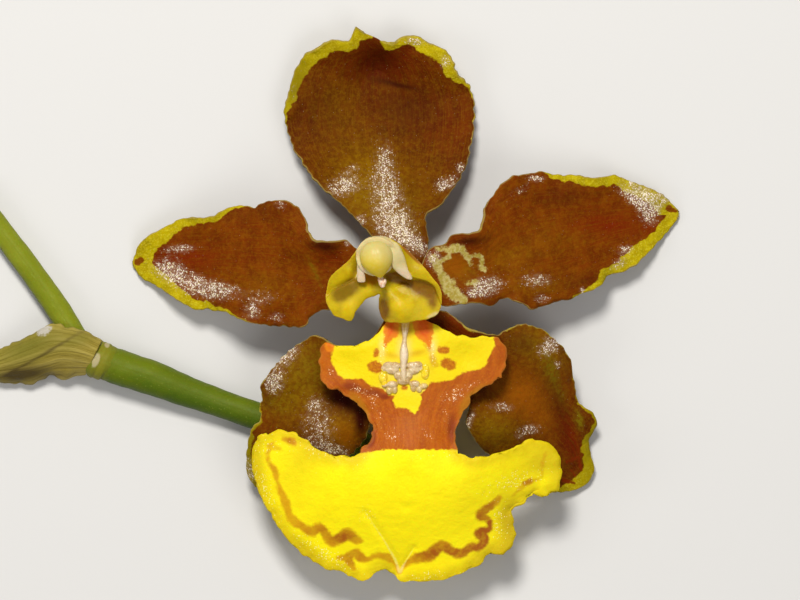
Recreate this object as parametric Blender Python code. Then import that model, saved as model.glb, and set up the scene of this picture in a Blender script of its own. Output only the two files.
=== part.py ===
"""An oncidium orchid flower on a short length of its cut stalk, lying face up.

The shapes are drawn in millimetres from the heart of the flower, the point where its
parts meet: x to the viewer's right, y up the flower and z up from the surface it lies
on. Each blade is a row of cross ribs. A rib has three points, its left edge, its middle
and its right edge, and the blade is the smooth sheet through them.
"""
import math

import bpy
import numpy as np

MM = 0.001
HEART = (7.5, 1.35)         # where the heart stands from the origin, mm
BLADE = 0.6                 # thickness of sepals, petals and lip, mm

STALK_ROUND = 16            # sides of the round stalks
BLADE_ROWS = 27
BLADE_COLUMNS = 9
LIP_ROWS = 50
LIP_COLUMNS = 15

# Dorsal sepal, from its claw behind the hood up to its tip. It leans back until its
# broad middle rests on the surface, and its tip hooks forward.
DORSAL = [
    ((-1.1, 1.6, 8.0), (0.2, 1.5, 8.1), (1.5, 1.6, 8.0)),
    ((-2.0, 3.1, 7.7), (0.1, 3.0, 7.9), (2.1, 3.0, 7.7)),
    ((-2.9, 4.9, 6.9), (-0.2, 4.6, 7.1), (2.3, 4.4, 7.0)),
    ((-4.2, 6.3, 6.1), (-0.8, 6.0, 6.2), (2.1, 5.8, 6.2)),
    ((-5.4, 7.7, 5.3), (-1.3, 7.3, 5.2), (2.2, 7.0, 5.4)),
    ((-6.5, 8.5, 4.7), (-1.6, 8.3, 4.4), (3.4, 7.7, 4.9)),
    ((-7.7, 9.6, 4.0), (-1.7, 9.5, 3.4), (4.6, 9.3, 4.1)),
    ((-8.6, 10.8, 3.4), (-1.8, 10.7, 2.6), (5.5, 10.7, 3.4)),
    ((-9.5, 12.0, 2.9), (-1.9, 12.1, 1.8), (6.0, 12.2, 2.8)),
    ((-10.2, 13.5, 2.4), (-2.0, 13.6, 1.1), (6.3, 13.7, 2.2)),
    ((-10.7, 15.1, 2.0), (-2.1, 15.2, 0.6), (6.5, 15.2, 1.8)),
    ((-10.8, 16.5, 1.9), (-2.2, 16.6, 0.1), (6.5, 16.5, 1.6)),
    ((-10.5, 17.9, 1.9), (-2.2, 17.9, 0.0), (6.4, 17.9, 1.7)),
    ((-10.1, 19.3, 2.1), (-2.2, 19.1, 0.2), (5.8, 19.0, 1.9)),
    ((-9.6, 20.6, 2.3), (-2.2, 20.0, 0.5), (4.9, 19.8, 2.1)),
    ((-8.9, 21.5, 2.4), (-2.2, 20.7, 0.9), (4.5, 21.1, 2.5)),
    ((-7.7, 22.2, 2.6), (-2.3, 21.3, 1.3), (3.7, 22.0, 2.7)),
    ((-6.6, 22.8, 2.8), (-2.5, 21.7, 1.7), (2.5, 22.5, 2.8)),
    ((-5.5, 22.7, 2.9), (-2.6, 22.0, 2.1), (1.2, 23.2, 2.9)),
    ((-4.9, 22.8, 2.9), (-2.7, 22.2, 2.4), (0.0, 23.1, 2.9)),
    ((-4.6, 23.4, 3.0), (-3.3, 22.7, 2.7), (-1.2, 22.5, 2.8)),
    ((-4.3, 24.0, 3.2), (-4.0, 23.8, 3.1), (-3.5, 23.4, 3.0)),
]

# Petals, from the heart out to the tip. The left edge of a rib is the upper margin.
PETAL_LEFT = [
    ((-1.5, 1.8, 9.0), (-1.5, 0.8, 9.0), (-1.5, -0.3, 9.0)),
    ((-2.9, 2.9, 9.1), (-2.9, 1.2, 8.9), (-2.9, -0.5, 8.9)),
    ((-4.3, 3.8, 9.2), (-4.3, 1.4, 8.8), (-4.2, -0.9, 8.8)),
    ((-5.2, 4.5, 9.3), (-5.3, 1.5, 8.6), (-5.5, -1.5, 8.7)),
    ((-6.6, 4.4, 9.4), (-6.6, 1.3, 8.2), (-6.7, -1.8, 8.4)),
    ((-7.9, 4.5, 9.2), (-7.7, 1.3, 7.8), (-7.6, -1.9, 8.0)),
    ((-8.6, 5.3, 8.8), (-8.5, 1.4, 7.5), (-8.4, -2.5, 7.6)),
    ((-8.8, 6.3, 8.3), (-8.8, 1.6, 7.4), (-8.8, -3.2, 7.3)),
    ((-9.4, 7.4, 7.7), (-9.5, 2.0, 7.1), (-9.6, -3.4, 6.9)),
    ((-10.7, 8.1, 6.9), (-10.8, 2.4, 6.6), (-10.9, -3.3, 6.3)),
    ((-12.1, 8.1, 6.2), (-12.2, 2.4, 6.0), (-12.3, -3.2, 5.7)),
    ((-13.5, 7.6, 5.6), (-13.6, 2.3, 5.3), (-13.7, -3.0, 5.1)),
    ((-14.9, 7.7, 5.0), (-15.0, 2.5, 4.6), (-15.0, -2.6, 4.5)),
    ((-16.3, 7.3, 4.4), (-16.3, 2.6, 3.9), (-16.3, -2.0, 4.0)),
    ((-17.4, 6.7, 3.9), (-17.4, 2.4, 3.4), (-17.5, -1.8, 3.5)),
    ((-18.7, 6.6, 3.4), (-18.8, 2.4, 2.7), (-18.8, -1.8, 3.0)),
    ((-20.2, 6.5, 2.8), (-20.2, 2.6, 2.0), (-20.1, -1.2, 2.4)),
    ((-21.6, 5.8, 2.1), (-21.5, 2.7, 1.4), (-21.4, -0.4, 1.8)),
    ((-23.0, 5.1, 1.5), (-22.9, 2.7, 0.9), (-22.6, 0.4, 1.2)),
    ((-24.1, 4.2, 0.9), (-24.0, 2.6, 0.5), (-23.7, 1.0, 0.8)),
    ((-24.5, 3.2, 0.5), (-24.5, 2.4, 0.3), (-24.3, 1.6, 0.4)),
    ((-24.75, 2.6, 0.3), (-24.75, 2.45, 0.25), (-24.7, 2.3, 0.3)),
]
PETAL_RIGHT = [
    ((1.5, 1.8, 9.0), (1.5, 0.7, 9.0), (1.5, -0.4, 9.0)),
    ((2.4, 3.7, 9.1), (2.6, 1.4, 8.9), (2.8, -1.0, 8.9)),
    ((3.8, 4.2, 9.2), (3.9, 1.4, 8.7), (3.9, -1.5, 8.8)),
    ((4.5, 5.0, 9.3), (4.9, 1.8, 8.6), (5.3, -1.3, 8.7)),
    ((6.1, 5.1, 9.2), (6.4, 2.0, 8.2), (6.8, -1.2, 8.3)),
    ((7.0, 5.5, 8.9), (7.5, 2.1, 7.8), (8.1, -1.4, 7.8)),
    ((7.3, 6.6, 8.5), (8.0, 2.9, 7.6), (8.8, -0.9, 7.4)),
    ((7.4, 7.6, 8.2), (8.4, 3.4, 7.4), (9.6, -0.8, 7.0)),
    ((8.2, 8.6, 7.6), (9.3, 3.8, 7.0), (10.6, -1.2, 6.6)),
    ((8.8, 9.5, 7.1), (10.2, 4.0, 6.6), (11.7, -1.7, 6.0)),
    ((9.9, 10.2, 6.5), (11.3, 4.4, 6.1), (12.9, -1.4, 5.5)),
    ((11.1, 10.5, 5.9), (12.7, 4.7, 5.5), (14.3, -1.0, 4.9)),
    ((12.4, 10.7, 5.4), (14.1, 5.0, 4.8), (15.8, -0.6, 4.4)),
    ((14.0, 10.5, 4.8), (15.5, 5.2, 4.1), (17.0, -0.1, 3.9)),
    ((15.7, 10.5, 4.3), (16.9, 5.5, 3.5), (18.1, 0.4, 3.5)),
    ((16.8, 10.2, 3.8), (17.7, 5.8, 3.1), (18.6, 1.3, 3.2)),
    ((18.1, 10.3, 3.3), (18.9, 5.9, 2.5), (19.7, 1.5, 2.8)),
    ((19.3, 10.5, 2.8), (20.0, 6.2, 2.0), (20.7, 2.0, 2.4)),
    ((20.9, 9.9, 2.2), (21.3, 6.3, 1.4), (21.7, 2.7, 1.9)),
    ((22.3, 9.4, 1.6), (22.6, 6.6, 0.9), (22.7, 3.7, 1.4)),
    ((23.6, 8.8, 1.1), (23.7, 6.8, 0.5), (23.6, 4.7, 0.9)),
    ((24.5, 8.0, 0.6), (24.5, 6.8, 0.3), (24.4, 5.6, 0.6)),
    ((25.1, 7.4, 0.4), (25.1, 6.9, 0.25), (25.0, 6.3, 0.4)),
    ((25.2, 7.2, 0.35), (25.25, 6.95, 0.25), (25.15, 6.7, 0.35)),
]

# Lower sepals. The left edge of a rib is the outer margin of each.
LATERAL_LEFT = [
    ((-1.3, -1.7, 8.1), (-0.8, -1.9, 8.1), (-0.3, -2.1, 8.1)),
    ((-2.0, -3.3, 8.1), (-1.5, -3.6, 8.1), (-0.9, -3.8, 8.1)),
    ((-3.2, -4.7, 8.0), (-2.3, -5.1, 7.9), (-1.4, -5.4, 7.9)),
    ((-4.8, -5.2, 7.8), (-3.3, -6.0, 7.7), (-1.9, -6.8, 7.6)),
    ((-6.2, -5.0, 7.5), (-4.2, -6.7, 7.4), (-2.3, -8.2, 7.3)),
    ((-7.8, -4.1, 7.1), (-5.1, -7.0, 7.2), (-2.6, -9.6, 6.9)),
    ((-9.0, -4.6, 6.8), (-5.8, -7.8, 6.9), (-2.7, -11.0, 6.6)),
    ((-10.3, -5.5, 6.3), (-6.5, -8.8, 6.6), (-2.9, -12.1, 6.3)),
    ((-11.3, -6.5, 5.9), (-7.2, -9.9, 6.3), (-3.3, -13.2, 6.0)),
    ((-12.3, -7.7, 5.5), (-8.0, -10.9, 5.9), (-3.9, -14.1, 5.7)),
    ((-12.9, -8.7, 5.1), (-8.8, -11.9, 5.5), (-4.7, -14.9, 5.3)),
    ((-12.8, -9.7, 4.8), (-9.2, -12.8, 5.2), (-5.6, -15.6, 4.9)),
    ((-13.1, -10.8, 4.5), (-9.9, -13.7, 4.9), (-6.7, -16.3, 4.5)),
    ((-13.0, -11.8, 4.3), (-10.4, -14.5, 4.5), (-7.8, -16.9, 4.0)),
    ((-13.8, -12.7, 4.1), (-11.3, -15.2, 4.2), (-8.9, -17.4, 3.6)),
    ((-14.1, -14.0, 3.7), (-12.0, -16.1, 3.7), (-9.9, -17.9, 3.1)),
    ((-14.2, -15.4, 3.2), (-12.5, -17.0, 3.2), (-10.8, -18.3, 2.7)),
    ((-14.2, -16.6, 2.6), (-12.9, -17.7, 2.7), (-11.6, -18.6, 2.3)),
    ((-13.7, -17.6, 2.2), (-13.0, -18.1, 2.2), (-12.2, -18.5, 2.0)),
    ((-13.2, -18.0, 1.9), (-13.0, -18.3, 1.9), (-12.7, -18.4, 1.8)),
]
LATERAL_RIGHT = [
    ((1.3, -1.7, 8.1), (0.8, -1.9, 8.1), (0.3, -2.1, 8.1)),
    ((2.7, -1.9, 8.1), (2.0, -2.8, 8.0), (1.3, -3.6, 8.0)),
    ((3.8, -1.9, 8.2), (3.1, -3.5, 7.8), (2.4, -5.0, 7.9)),
    ((4.9, -2.7, 8.1), (4.2, -4.6, 7.5), (3.6, -6.3, 7.7)),
    ((6.0, -3.5, 7.9), (5.3, -5.6, 7.2), (4.6, -7.5, 7.4)),
    ((7.3, -3.9, 7.6), (6.4, -6.3, 7.0), (5.5, -8.7, 7.1)),
    ((8.4, -4.1, 7.2), (7.3, -7.0, 6.8), (6.1, -9.8, 6.8)),
    ((9.2, -3.7, 6.9), (7.6, -7.4, 6.7), (5.9, -11.1, 6.5)),
    ((10.6, -3.1, 6.3), (8.2, -7.7, 6.4), (5.7, -12.1, 6.2)),
    ((12.0, -3.3, 5.7), (9.1, -8.2, 6.0), (6.1, -12.9, 5.8)),
    ((13.3, -4.1, 5.0), (10.0, -9.0, 5.5), (6.7, -13.8, 5.3)),
    ((14.4, -5.0, 4.4), (10.9, -9.9, 5.0), (7.4, -14.6, 4.8)),
    ((15.2, -6.2, 3.8), (11.7, -10.9, 4.4), (8.3, -15.4, 4.2)),
    ((15.5, -7.7, 3.3), (12.3, -12.0, 3.9), (9.2, -16.1, 3.7)),
    ((15.7, -9.2, 2.9), (12.8, -13.1, 3.4), (10.1, -16.8, 3.1)),
    ((16.2, -10.4, 2.5), (13.6, -13.9, 2.8), (11.0, -17.3, 2.6)),
    ((17.3, -11.2, 2.1), (14.6, -14.5, 2.3), (11.9, -17.8, 2.1)),
    ((17.7, -12.1, 1.7), (15.2, -15.2, 1.9), (12.7, -18.2, 1.7)),
    ((17.3, -13.0, 1.4), (15.4, -15.8, 1.5), (13.4, -18.5, 1.3)),
    ((16.9, -13.9, 1.2), (15.6, -16.3, 1.2), (14.2, -18.5, 1.0)),
    ((17.2, -15.2, 1.0), (16.1, -16.9, 0.9), (14.9, -18.4, 0.8)),
    ((17.5, -16.3, 0.8), (16.7, -17.4, 0.7), (15.7, -18.3, 0.7)),
    ((17.1, -17.3, 0.7), (16.8, -17.7, 0.6), (16.3, -18.0, 0.6)),
]

# Lip, from its foot under the column, out round the side lobes, in along the waist,
# out round the middle lobe and down to the notch at its tip.
LIP = [
    ((-1.2, -1.7, 9.3), (0.1, -1.6, 9.4), (1.4, -1.7, 9.3)),
    ((-1.5, -2.9, 9.3), (0.2, -2.6, 9.5), (2.0, -2.7, 9.3)),
    ((-2.2, -3.8, 9.4), (0.2, -3.5, 9.5), (3.1, -3.2, 9.4)),
    ((-3.1, -4.6, 9.5), (0.2, -4.2, 9.5), (4.2, -3.8, 9.5)),
    ((-4.3, -5.0, 9.5), (0.2, -4.9, 9.5), (5.4, -4.2, 9.5)),
    ((-5.7, -5.1, 9.2), (0.2, -5.5, 9.5), (6.8, -4.3, 9.2)),
    ((-7.0, -4.8, 8.8), (0.2, -6.1, 9.5), (8.0, -4.2, 8.9)),
    ((-7.5, -5.6, 8.6), (0.2, -6.7, 9.4), (8.9, -4.6, 8.7)),
    ((-7.6, -6.7, 8.5), (0.2, -7.3, 9.4), (9.4, -5.6, 8.5)),
    ((-7.4, -8.0, 8.5), (0.2, -8.0, 9.3), (9.2, -7.2, 8.4)),
    ((-6.7, -8.9, 8.5), (0.2, -8.6, 9.2), (8.6, -8.2, 8.4)),
    ((-5.4, -9.4, 8.6), (0.2, -9.3, 9.2), (7.5, -8.7, 8.4)),
    ((-4.4, -10.1, 8.6), (0.2, -10.0, 9.2), (6.5, -9.4, 8.5)),
    ((-3.7, -11.0, 8.6), (0.3, -10.8, 9.2), (5.8, -10.6, 8.5)),
    ((-3.2, -12.0, 8.6), (0.4, -11.8, 9.3), (5.1, -11.8, 8.6)),
    ((-3.0, -12.9, 8.7), (0.5, -12.7, 9.5), (4.7, -13.0, 8.7)),
    ((-3.4, -13.9, 8.9), (0.5, -13.5, 9.8), (4.7, -13.9, 8.9)),
    ((-4.3, -14.9, 9.1), (0.5, -14.2, 10.0), (5.0, -14.7, 9.1)),
    ((-5.7, -15.1, 9.1), (0.5, -14.9, 10.0), (5.9, -15.1, 9.1)),
    ((-7.1, -14.8, 8.9), (0.5, -15.5, 9.8), (7.0, -15.2, 8.9)),
    ((-8.3, -14.0, 8.6), (0.5, -16.1, 9.6), (8.8, -14.7, 8.5)),
    ((-9.4, -13.3, 8.3), (0.5, -16.7, 9.4), (10.2, -14.2, 8.1)),
    ((-10.7, -12.8, 7.9), (0.4, -17.3, 9.2), (11.7, -13.6, 7.7)),
    ((-12.3, -12.9, 7.4), (0.4, -17.9, 9.0), (12.9, -13.8, 7.3)),
    ((-13.3, -13.5, 7.0), (0.3, -18.5, 8.7), (13.9, -14.5, 7.0)),
    ((-13.7, -14.5, 6.7), (0.3, -19.1, 8.4), (14.3, -15.5, 6.7)),
    ((-13.7, -16.0, 6.4), (0.2, -19.7, 8.1), (14.4, -16.8, 6.4)),
    ((-13.3, -17.6, 6.1), (0.1, -20.3, 7.8), (14.2, -18.0, 6.1)),
    ((-12.7, -19.1, 5.9), (0.1, -20.8, 7.5), (13.3, -18.6, 6.0)),
    ((-12.1, -20.3, 5.7), (0.0, -21.3, 7.2), (11.9, -18.6, 5.9)),
    ((-11.1, -21.8, 5.5), (0.0, -21.8, 6.9), (10.8, -19.4, 5.8)),
    ((-9.7, -23.5, 5.3), (-0.1, -22.3, 6.6), (9.9, -20.1, 5.7)),
    ((-8.3, -24.5, 5.2), (-0.1, -22.8, 6.3), (10.2, -21.3, 5.5)),
    ((-7.2, -25.3, 5.1), (-0.1, -23.3, 6.0), (10.2, -22.5, 5.3)),
    ((-5.7, -25.6, 5.0), (-0.2, -23.8, 5.8), (9.4, -24.0, 5.2)),
    ((-4.6, -26.2, 4.9), (-0.2, -24.2, 5.6), (7.9, -24.0, 5.1)),
    ((-3.7, -26.5, 4.9), (-0.2, -24.6, 5.4), (6.8, -25.1, 5.0)),
    ((-2.8, -26.0, 4.9), (-0.2, -25.0, 5.2), (5.0, -25.9, 4.9)),
    ((-2.2, -25.5, 4.9), (-0.2, -25.4, 5.1), (3.4, -26.4, 4.9)),
    ((-1.5, -25.4, 4.9), (-0.2, -25.8, 5.0), (1.9, -26.5, 4.8)),
    ((-0.8, -25.8, 4.8), (-0.2, -26.2, 4.9), (0.7, -26.5, 4.8)),
    ((-0.4, -26.4, 4.8), (-0.25, -26.5, 4.8), (-0.1, -26.5, 4.8)),
]

# Bract, the dry sheath on the joint, from the ring out to its tip.
BRACT = [
    ((-27.9, -4.6, 3.1), (-28.8, -5.9, 3.9), (-29.7, -7.5, 2.0)),
    ((-29.2, -3.7, 3.2), (-29.8, -5.5, 3.9), (-30.5, -7.8, 1.3)),
    ((-30.6, -3.4, 3.1), (-31.0, -5.5, 3.6), (-31.5, -7.6, 1.2)),
    ((-32.1, -3.1, 3.0), (-32.5, -5.8, 3.2), (-32.6, -7.9, 1.0)),
    ((-34.1, -4.2, 2.4), (-34.3, -6.3, 2.8), (-34.2, -8.3, 0.8)),
    ((-35.9, -5.0, 1.9), (-36.1, -6.8, 2.4), (-36.1, -8.5, 0.7)),
    ((-37.4, -5.7, 1.5), (-37.5, -7.1, 2.0), (-37.5, -8.3, 0.7)),
    ((-38.6, -6.4, 1.2), (-38.7, -7.1, 1.6), (-38.7, -7.8, 0.8)),
    ((-39.3, -6.9, 1.2), (-39.4, -7.1, 1.4), (-39.4, -7.3, 1.1)),
]

# Stalk: x, y, height of the centre, radius, from the cut end of the thin length, past
# the ring at the joint, to the cut end hidden under the lip.
STALK = [
    (-39.6, 9.2, 1.05, 1.05),
    (-38.4, 7.6, 1.05, 1.05),
    (-36.6, 5.2, 1.05, 1.05),
    (-34.9, 3.0, 1.07, 1.07),
    (-33.3, 0.8, 1.08, 1.08),
    (-31.9, -1.2, 1.10, 1.10),
    (-30.6, -3.2, 1.15, 1.10),
    (-29.7, -4.8, 1.30, 1.10),
    (-29.0, -5.7, 1.50, 1.15),
    (-28.5, -6.1, 1.65, 1.30),
    (-28.2, -6.25, 1.80, 1.72),
    (-27.7, -6.4, 1.85, 1.85),
    (-27.1, -6.6, 1.80, 1.78),
    (-26.8, -6.75, 1.70, 1.60),
    (-25.5, -7.2, 1.64, 1.62),
    (-23.0, -8.0, 1.58, 1.58),
    (-20.5, -9.0, 1.45, 1.45),
    (-18.5, -9.7, 1.33, 1.33),
    (-16.0, -10.6, 1.27, 1.27),
    (-12.5, -11.8, 1.25, 1.25),
    (-8.0, -13.1, 1.23, 1.23),
    (-3.5, -14.3, 1.21, 1.21),
    (0.8, -15.5, 1.20, 1.20),
    (4.7, -16.7, 1.15, 1.15),
]

# Pedicel and ovary: x, y, height, radius, from the stalk up to the heart.
PEDICEL = [
    (0.8, -15.0, 3.35, 0.70),
    (0.8, -14.2, 3.9, 0.62),
    (0.8, -12.5, 4.7, 0.60),
    (0.7, -10.5, 5.2, 0.66),
    (0.6, -8.5, 5.5, 0.82),
    (0.5, -6.5, 5.7, 0.95),
    (0.4, -4.5, 5.9, 1.00),
    (0.3, -2.8, 6.1, 0.92),
    (0.2, -1.2, 6.5, 0.88),
    (0.1, -0.2, 7.0, 1.00),
    (0.0, 0.0, 7.5, 1.35),
]
OVARY_RIBS = 6
OVARY_RIB_DEPTH = 0.10      # share of the radius

FLORAL_BRACT = [
    ((-0.9, -14.4, 3.1), (0.8, -13.9, 2.75), (2.5, -14.9, 3.0)),
    ((-0.75, -13.4, 3.05), (0.7, -12.9, 2.65), (2.15, -13.8, 2.95)),
    ((-0.25, -12.6, 3.0), (0.6, -12.1, 2.65), (1.45, -12.8, 2.95)),
    ((0.35, -11.7, 2.85), (0.6, -11.5, 2.75), (0.85, -11.8, 2.85)),
]

# Face of the column with its two wings, from the tip of the left wing to the tip of
# the right one: upper edge, hollow, lower edge.
COLUMN_FACE = [
    ((-6.9, 0.5, 11.7), (-7.05, -0.3, 11.6), (-7.0, -1.1, 11.6)),
    ((-6.5, 1.3, 12.1), (-6.5, -0.3, 11.6), (-6.5, -1.9, 11.6)),
    ((-5.9, 1.8, 12.5), (-5.9, -0.4, 11.5), (-5.9, -2.5, 11.8)),
    ((-5.2, 2.2, 12.9), (-5.2, -0.3, 11.5), (-5.1, -2.8, 12.1)),
    ((-4.6, 2.9, 13.2), (-4.6, 0.2, 11.6), (-4.5, -2.4, 12.2)),
    ((-4.1, 3.6, 13.6), (-4.1, 1.0, 11.8), (-4.0, -1.5, 12.1)),
    ((-3.4, 4.4, 13.9), (-3.4, 1.7, 11.9), (-3.4, -1.0, 11.9)),
    ((-2.5, 4.8, 14.0), (-2.4, 2.0, 11.9), (-2.4, -0.6, 11.7)),
    ((-1.9, 4.8, 13.9), (-1.9, 1.2, 11.7), (-2.15, -2.0, 11.0)),
    ((-1.4, 4.6, 13.7), (-1.4, 0.8, 11.6), (-1.5, -2.8, 10.7)),
    ((-0.8, 4.3, 13.5), (-0.8, 0.5, 11.5), (-0.8, -3.1, 10.6)),
    ((-0.2, 3.7, 13.3), (-0.1, 0.2, 11.5), (0.1, -3.2, 10.6)),
    ((0.5, 3.2, 13.2), (0.7, 0.1, 11.4), (0.9, -3.1, 10.7)),
    ((1.2, 2.5, 13.1), (1.5, -0.1, 11.3), (1.8, -2.9, 10.9)),
    ((1.9, 1.9, 13.0), (2.2, -0.3, 11.3), (2.5, -2.6, 11.2)),
    ((2.5, 1.3, 12.9), (2.8, -0.5, 11.4), (3.0, -2.2, 11.6)),
    ((3.2, 0.5, 12.7), (3.3, -0.6, 11.8), (3.4, -1.7, 12.0)),
    ((3.5, -0.2, 12.4), (3.6, -0.6, 12.3), (3.6, -1.0, 12.3)),
]
COLUMN_FACE_THICKNESS = 0.7
COLUMN_BULGE = (-0.1, -1.5, 1.5, 0.9)      # x, y, reach, height of the plate below the hollow
TRUNK = [
    (0.0, 0.0, 7.9, 1.15),
    (0.0, 0.0, 9.2, 1.15),
    (-0.2, 0.2, 10.4, 1.3),
    (-0.6, 0.7, 11.8, 1.6),
]
ANTHER_AT = (-2.4, 3.0, 14.0)
ANTHER_RADIUS = 1.4
ANTHER_HOLLOW = 0.85
HOOD_INNER = 1.7
HOOD_OUTER = 2.15
HOOD_OPENING = (0.0, -0.6, 0.8)            # the way the hood opens
HOOD_REACH = -0.15                         # how far it comes past the middle of the cap
BEAK = [
    (-2.3, 2.2, 14.0, 0.95),
    (-2.15, 1.55, 13.9, 0.6),
    (-2.0, 1.05, 13.8, 0.32),
]
CREAM_ARMS = [
    [(-0.9, 2.9, 13.9, 0.5), (-0.3, 1.9, 13.2, 0.55), (0.3, 1.2, 12.5, 0.42), (0.75, 0.8, 12.0, 0.2)],
    [(-4.0, 2.9, 13.4, 0.3), (-4.1, 1.9, 12.8, 0.34), (-3.9, 1.2, 12.4, 0.38), (-3.7, 0.9, 12.2, 0.3)],
]

# Warts of the crest on the lip: x, y, height of the centre, half sizes along x, y, z.
CALLUS = [
    (0.1, -5.6, 9.7, 0.38, 1.5, 0.55),
    (-1.0, -6.9, 9.8, 0.75, 0.55, 0.7),
    (0.9, -6.9, 9.8, 0.75, 0.55, 0.7),
    (0.1, -8.0, 9.6, 0.6, 0.8, 0.6),
    (-1.5, -8.9, 9.5, 0.6, 0.5, 0.6),
    (1.5, -8.8, 9.5, 0.6, 0.5, 0.6),
    (1.9, -7.6, 9.5, 0.5, 0.6, 0.5),
    (-1.9, -7.9, 9.4, 0.4, 0.5, 0.45),
]

# Waves of the margins: height in mm, number of waves, where they start (turns).
DORSAL_WAVE = (0.35, 4.0, 0.1)
PETAL_WAVE = (0.45, 4.5, 0.3)
LATERAL_WAVE = (0.35, 3.5, 0.6)
LIP_WAVE = (0.35, 9.0, 0.2)

# Swellings and hollows of the blades: x, y, reach, height, mm.
DORSAL_SWELLS = [(-1.6, 9.0, 2.2, 0.5), (-2.5, 20.6, 2.0, -0.3)]
PETAL_LEFT_SWELLS = [(-14.0, 1.0, 3.0, 0.5), (-21.0, 3.8, 1.6, 0.3), (-7.2, 2.8, 1.2, -0.4)]
PETAL_RIGHT_SWELLS = [(13.0, 3.0, 3.2, 0.5), (21.0, 7.5, 1.8, 0.3), (7.0, 0.2, 1.4, 0.4)]
LATERAL_LEFT_SWELLS = [(-10.8, -7.6, 2.0, 0.6), (-7.0, -12.8, 2.2, 0.7), (-6.2, -9.8, 1.6, -0.6)]
LATERAL_RIGHT_SWELLS = [(12.4, -6.2, 2.2, 0.6), (8.0, -12.2, 2.0, 0.7), (8.0, -9.6, 1.5, -0.6)]
LIP_SWELLS = [
    (-5.0, -6.6, 1.6, -0.5), (5.6, -6.0, 1.6, -0.5), (-0.3, -25.0, 1.5, -0.3),
    (-5.0, -19.5, 4.0, 0.4), (5.0, -18.5, 4.0, 0.4),
]


def clear_scene():
    for item in list(bpy.data.objects):
        bpy.data.objects.remove(item, do_unlink=True)


def make_material(name, colour, roughness):
    material = bpy.data.materials.new(name)
    material.use_nodes = True
    shader = material.node_tree.nodes["Principled BSDF"]
    shader.inputs["Base Color"].default_value = (*colour, 1.0)
    shader.inputs["Roughness"].default_value = roughness
    shader.inputs["Metallic"].default_value = 0.0
    return material


def smooth_through(points, count):
    """Reads a smooth curve through the points at count even steps."""
    points = np.asarray(points, dtype=float)
    before = 2 * points[0] - points[1]
    after = 2 * points[-1] - points[-2]
    padded = np.concatenate([before[None], points, after[None]])
    place = np.linspace(0, len(points) - 1, count)
    first = np.minimum(place.astype(int), len(points) - 2)
    u = (place - first).reshape(-1, *[1] * (points.ndim - 1))
    p0, p1, p2, p3 = (padded[first + k] for k in range(4))
    bend = 2 * p0 - 5 * p1 + 4 * p2 - p3
    twist = 3 * p1 - p0 - 3 * p2 + p3
    return 0.5 * (2 * p1 + (p2 - p0) * u + bend * u ** 2 + twist * u ** 3)


def blade_grid(ribs, rows, columns):
    """Spreads the ribs into a grid of points, rows along the blade, columns across it."""
    along = smooth_through(ribs, rows)
    across = np.linspace(-1, 1, columns)
    shares = np.stack([across * (across - 1) / 2, 1 - across ** 2, across * (across + 1) / 2], axis=1)
    return np.einsum("ck,rkd->rcd", shares, along)


def wave_margins(grid, wave):
    """Ripples both margins up and down, more towards the edge, calm at both ends."""
    height, count, start = wave
    rows, columns = grid.shape[:2]
    along = np.linspace(0, 1, rows)[:, None]
    across = np.linspace(-1, 1, columns)[None, :]
    side_start = start + 0.37 * (across > 0)
    calm = np.sin(np.pi * along) ** 0.7
    grid[..., 2] += height * calm * np.abs(across) ** 3 * np.sin(2 * np.pi * (count * along + side_start))


def swell(grid, swells):
    for x, y, reach, height in swells:
        distance = (grid[..., 0] - x) ** 2 + (grid[..., 1] - y) ** 2
        grid[..., 2] += height * np.exp(-distance / reach ** 2)


def grid_normals(grid):
    along = np.gradient(grid, axis=0)
    across = np.gradient(grid, axis=1)
    normals = np.cross(across, along)
    normals /= np.linalg.norm(normals, axis=2, keepdims=True)
    return normals * np.where(normals[..., 2:] < 0, -1, 1)


def new_object(name, points, faces, material, smooth=True):
    """Makes an object from points in mm round the heart."""
    shifted = [((x + HEART[0]) * MM, (y + HEART[1]) * MM, z * MM) for x, y, z in points]
    mesh = bpy.data.meshes.new(name)
    mesh.from_pydata(shifted, [], faces)
    mesh.validate()
    mesh.materials.append(material)
    if smooth:
        mesh.shade_smooth()
        mesh.set_sharp_from_angle(angle=math.radians(50))
    item = bpy.data.objects.new(name, mesh)
    bpy.context.scene.collection.objects.link(item)
    return item


def sheet_solid(name, grid, thickness, material):
    """Closes a grid into a thin solid, flat where it rests on the surface.

    Both faces are split along the same diagonals.
    """
    rows, columns = grid.shape[:2]
    grid[..., 2] = np.maximum(grid[..., 2], thickness / 2)
    normals = grid_normals(grid)
    top = grid + normals * thickness / 2
    bottom = grid - normals * thickness / 2
    bottom[..., 2] = np.maximum(bottom[..., 2], 0.0)
    points = np.concatenate([top.reshape(-1, 3), bottom.reshape(-1, 3)])
    below = rows * columns
    faces = []
    for r in range(rows - 1):
        for c in range(columns - 1):
            a = r * columns + c
            b, d, e = a + 1, a + columns, a + columns + 1
            for one, two, three in ((a, b, e), (a, e, d)):
                faces.append((one, two, three))
                faces.append((below + one, below + three, below + two))
    rim = [c for c in range(columns)]
    rim += [r * columns + columns - 1 for r in range(1, rows)]
    rim += [(rows - 1) * columns + c for c in range(columns - 2, -1, -1)]
    rim += [r * columns for r in range(rows - 2, 0, -1)]
    for here, there in zip(rim, rim[1:] + rim[:1]):
        faces.append((here, below + here, below + there))
        faces.append((here, below + there, there))
    if signed_volume(points, faces) < 0:
        faces = [face[::-1] for face in faces]
    return new_object(name, points, faces, material)


def signed_volume(points, faces):
    total = 0.0
    for face in faces:
        first = points[face[0]]
        for second, third in zip(face[1:-1], face[2:]):
            total += np.dot(first, np.cross(points[second], points[third]))
    return total / 6


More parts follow.
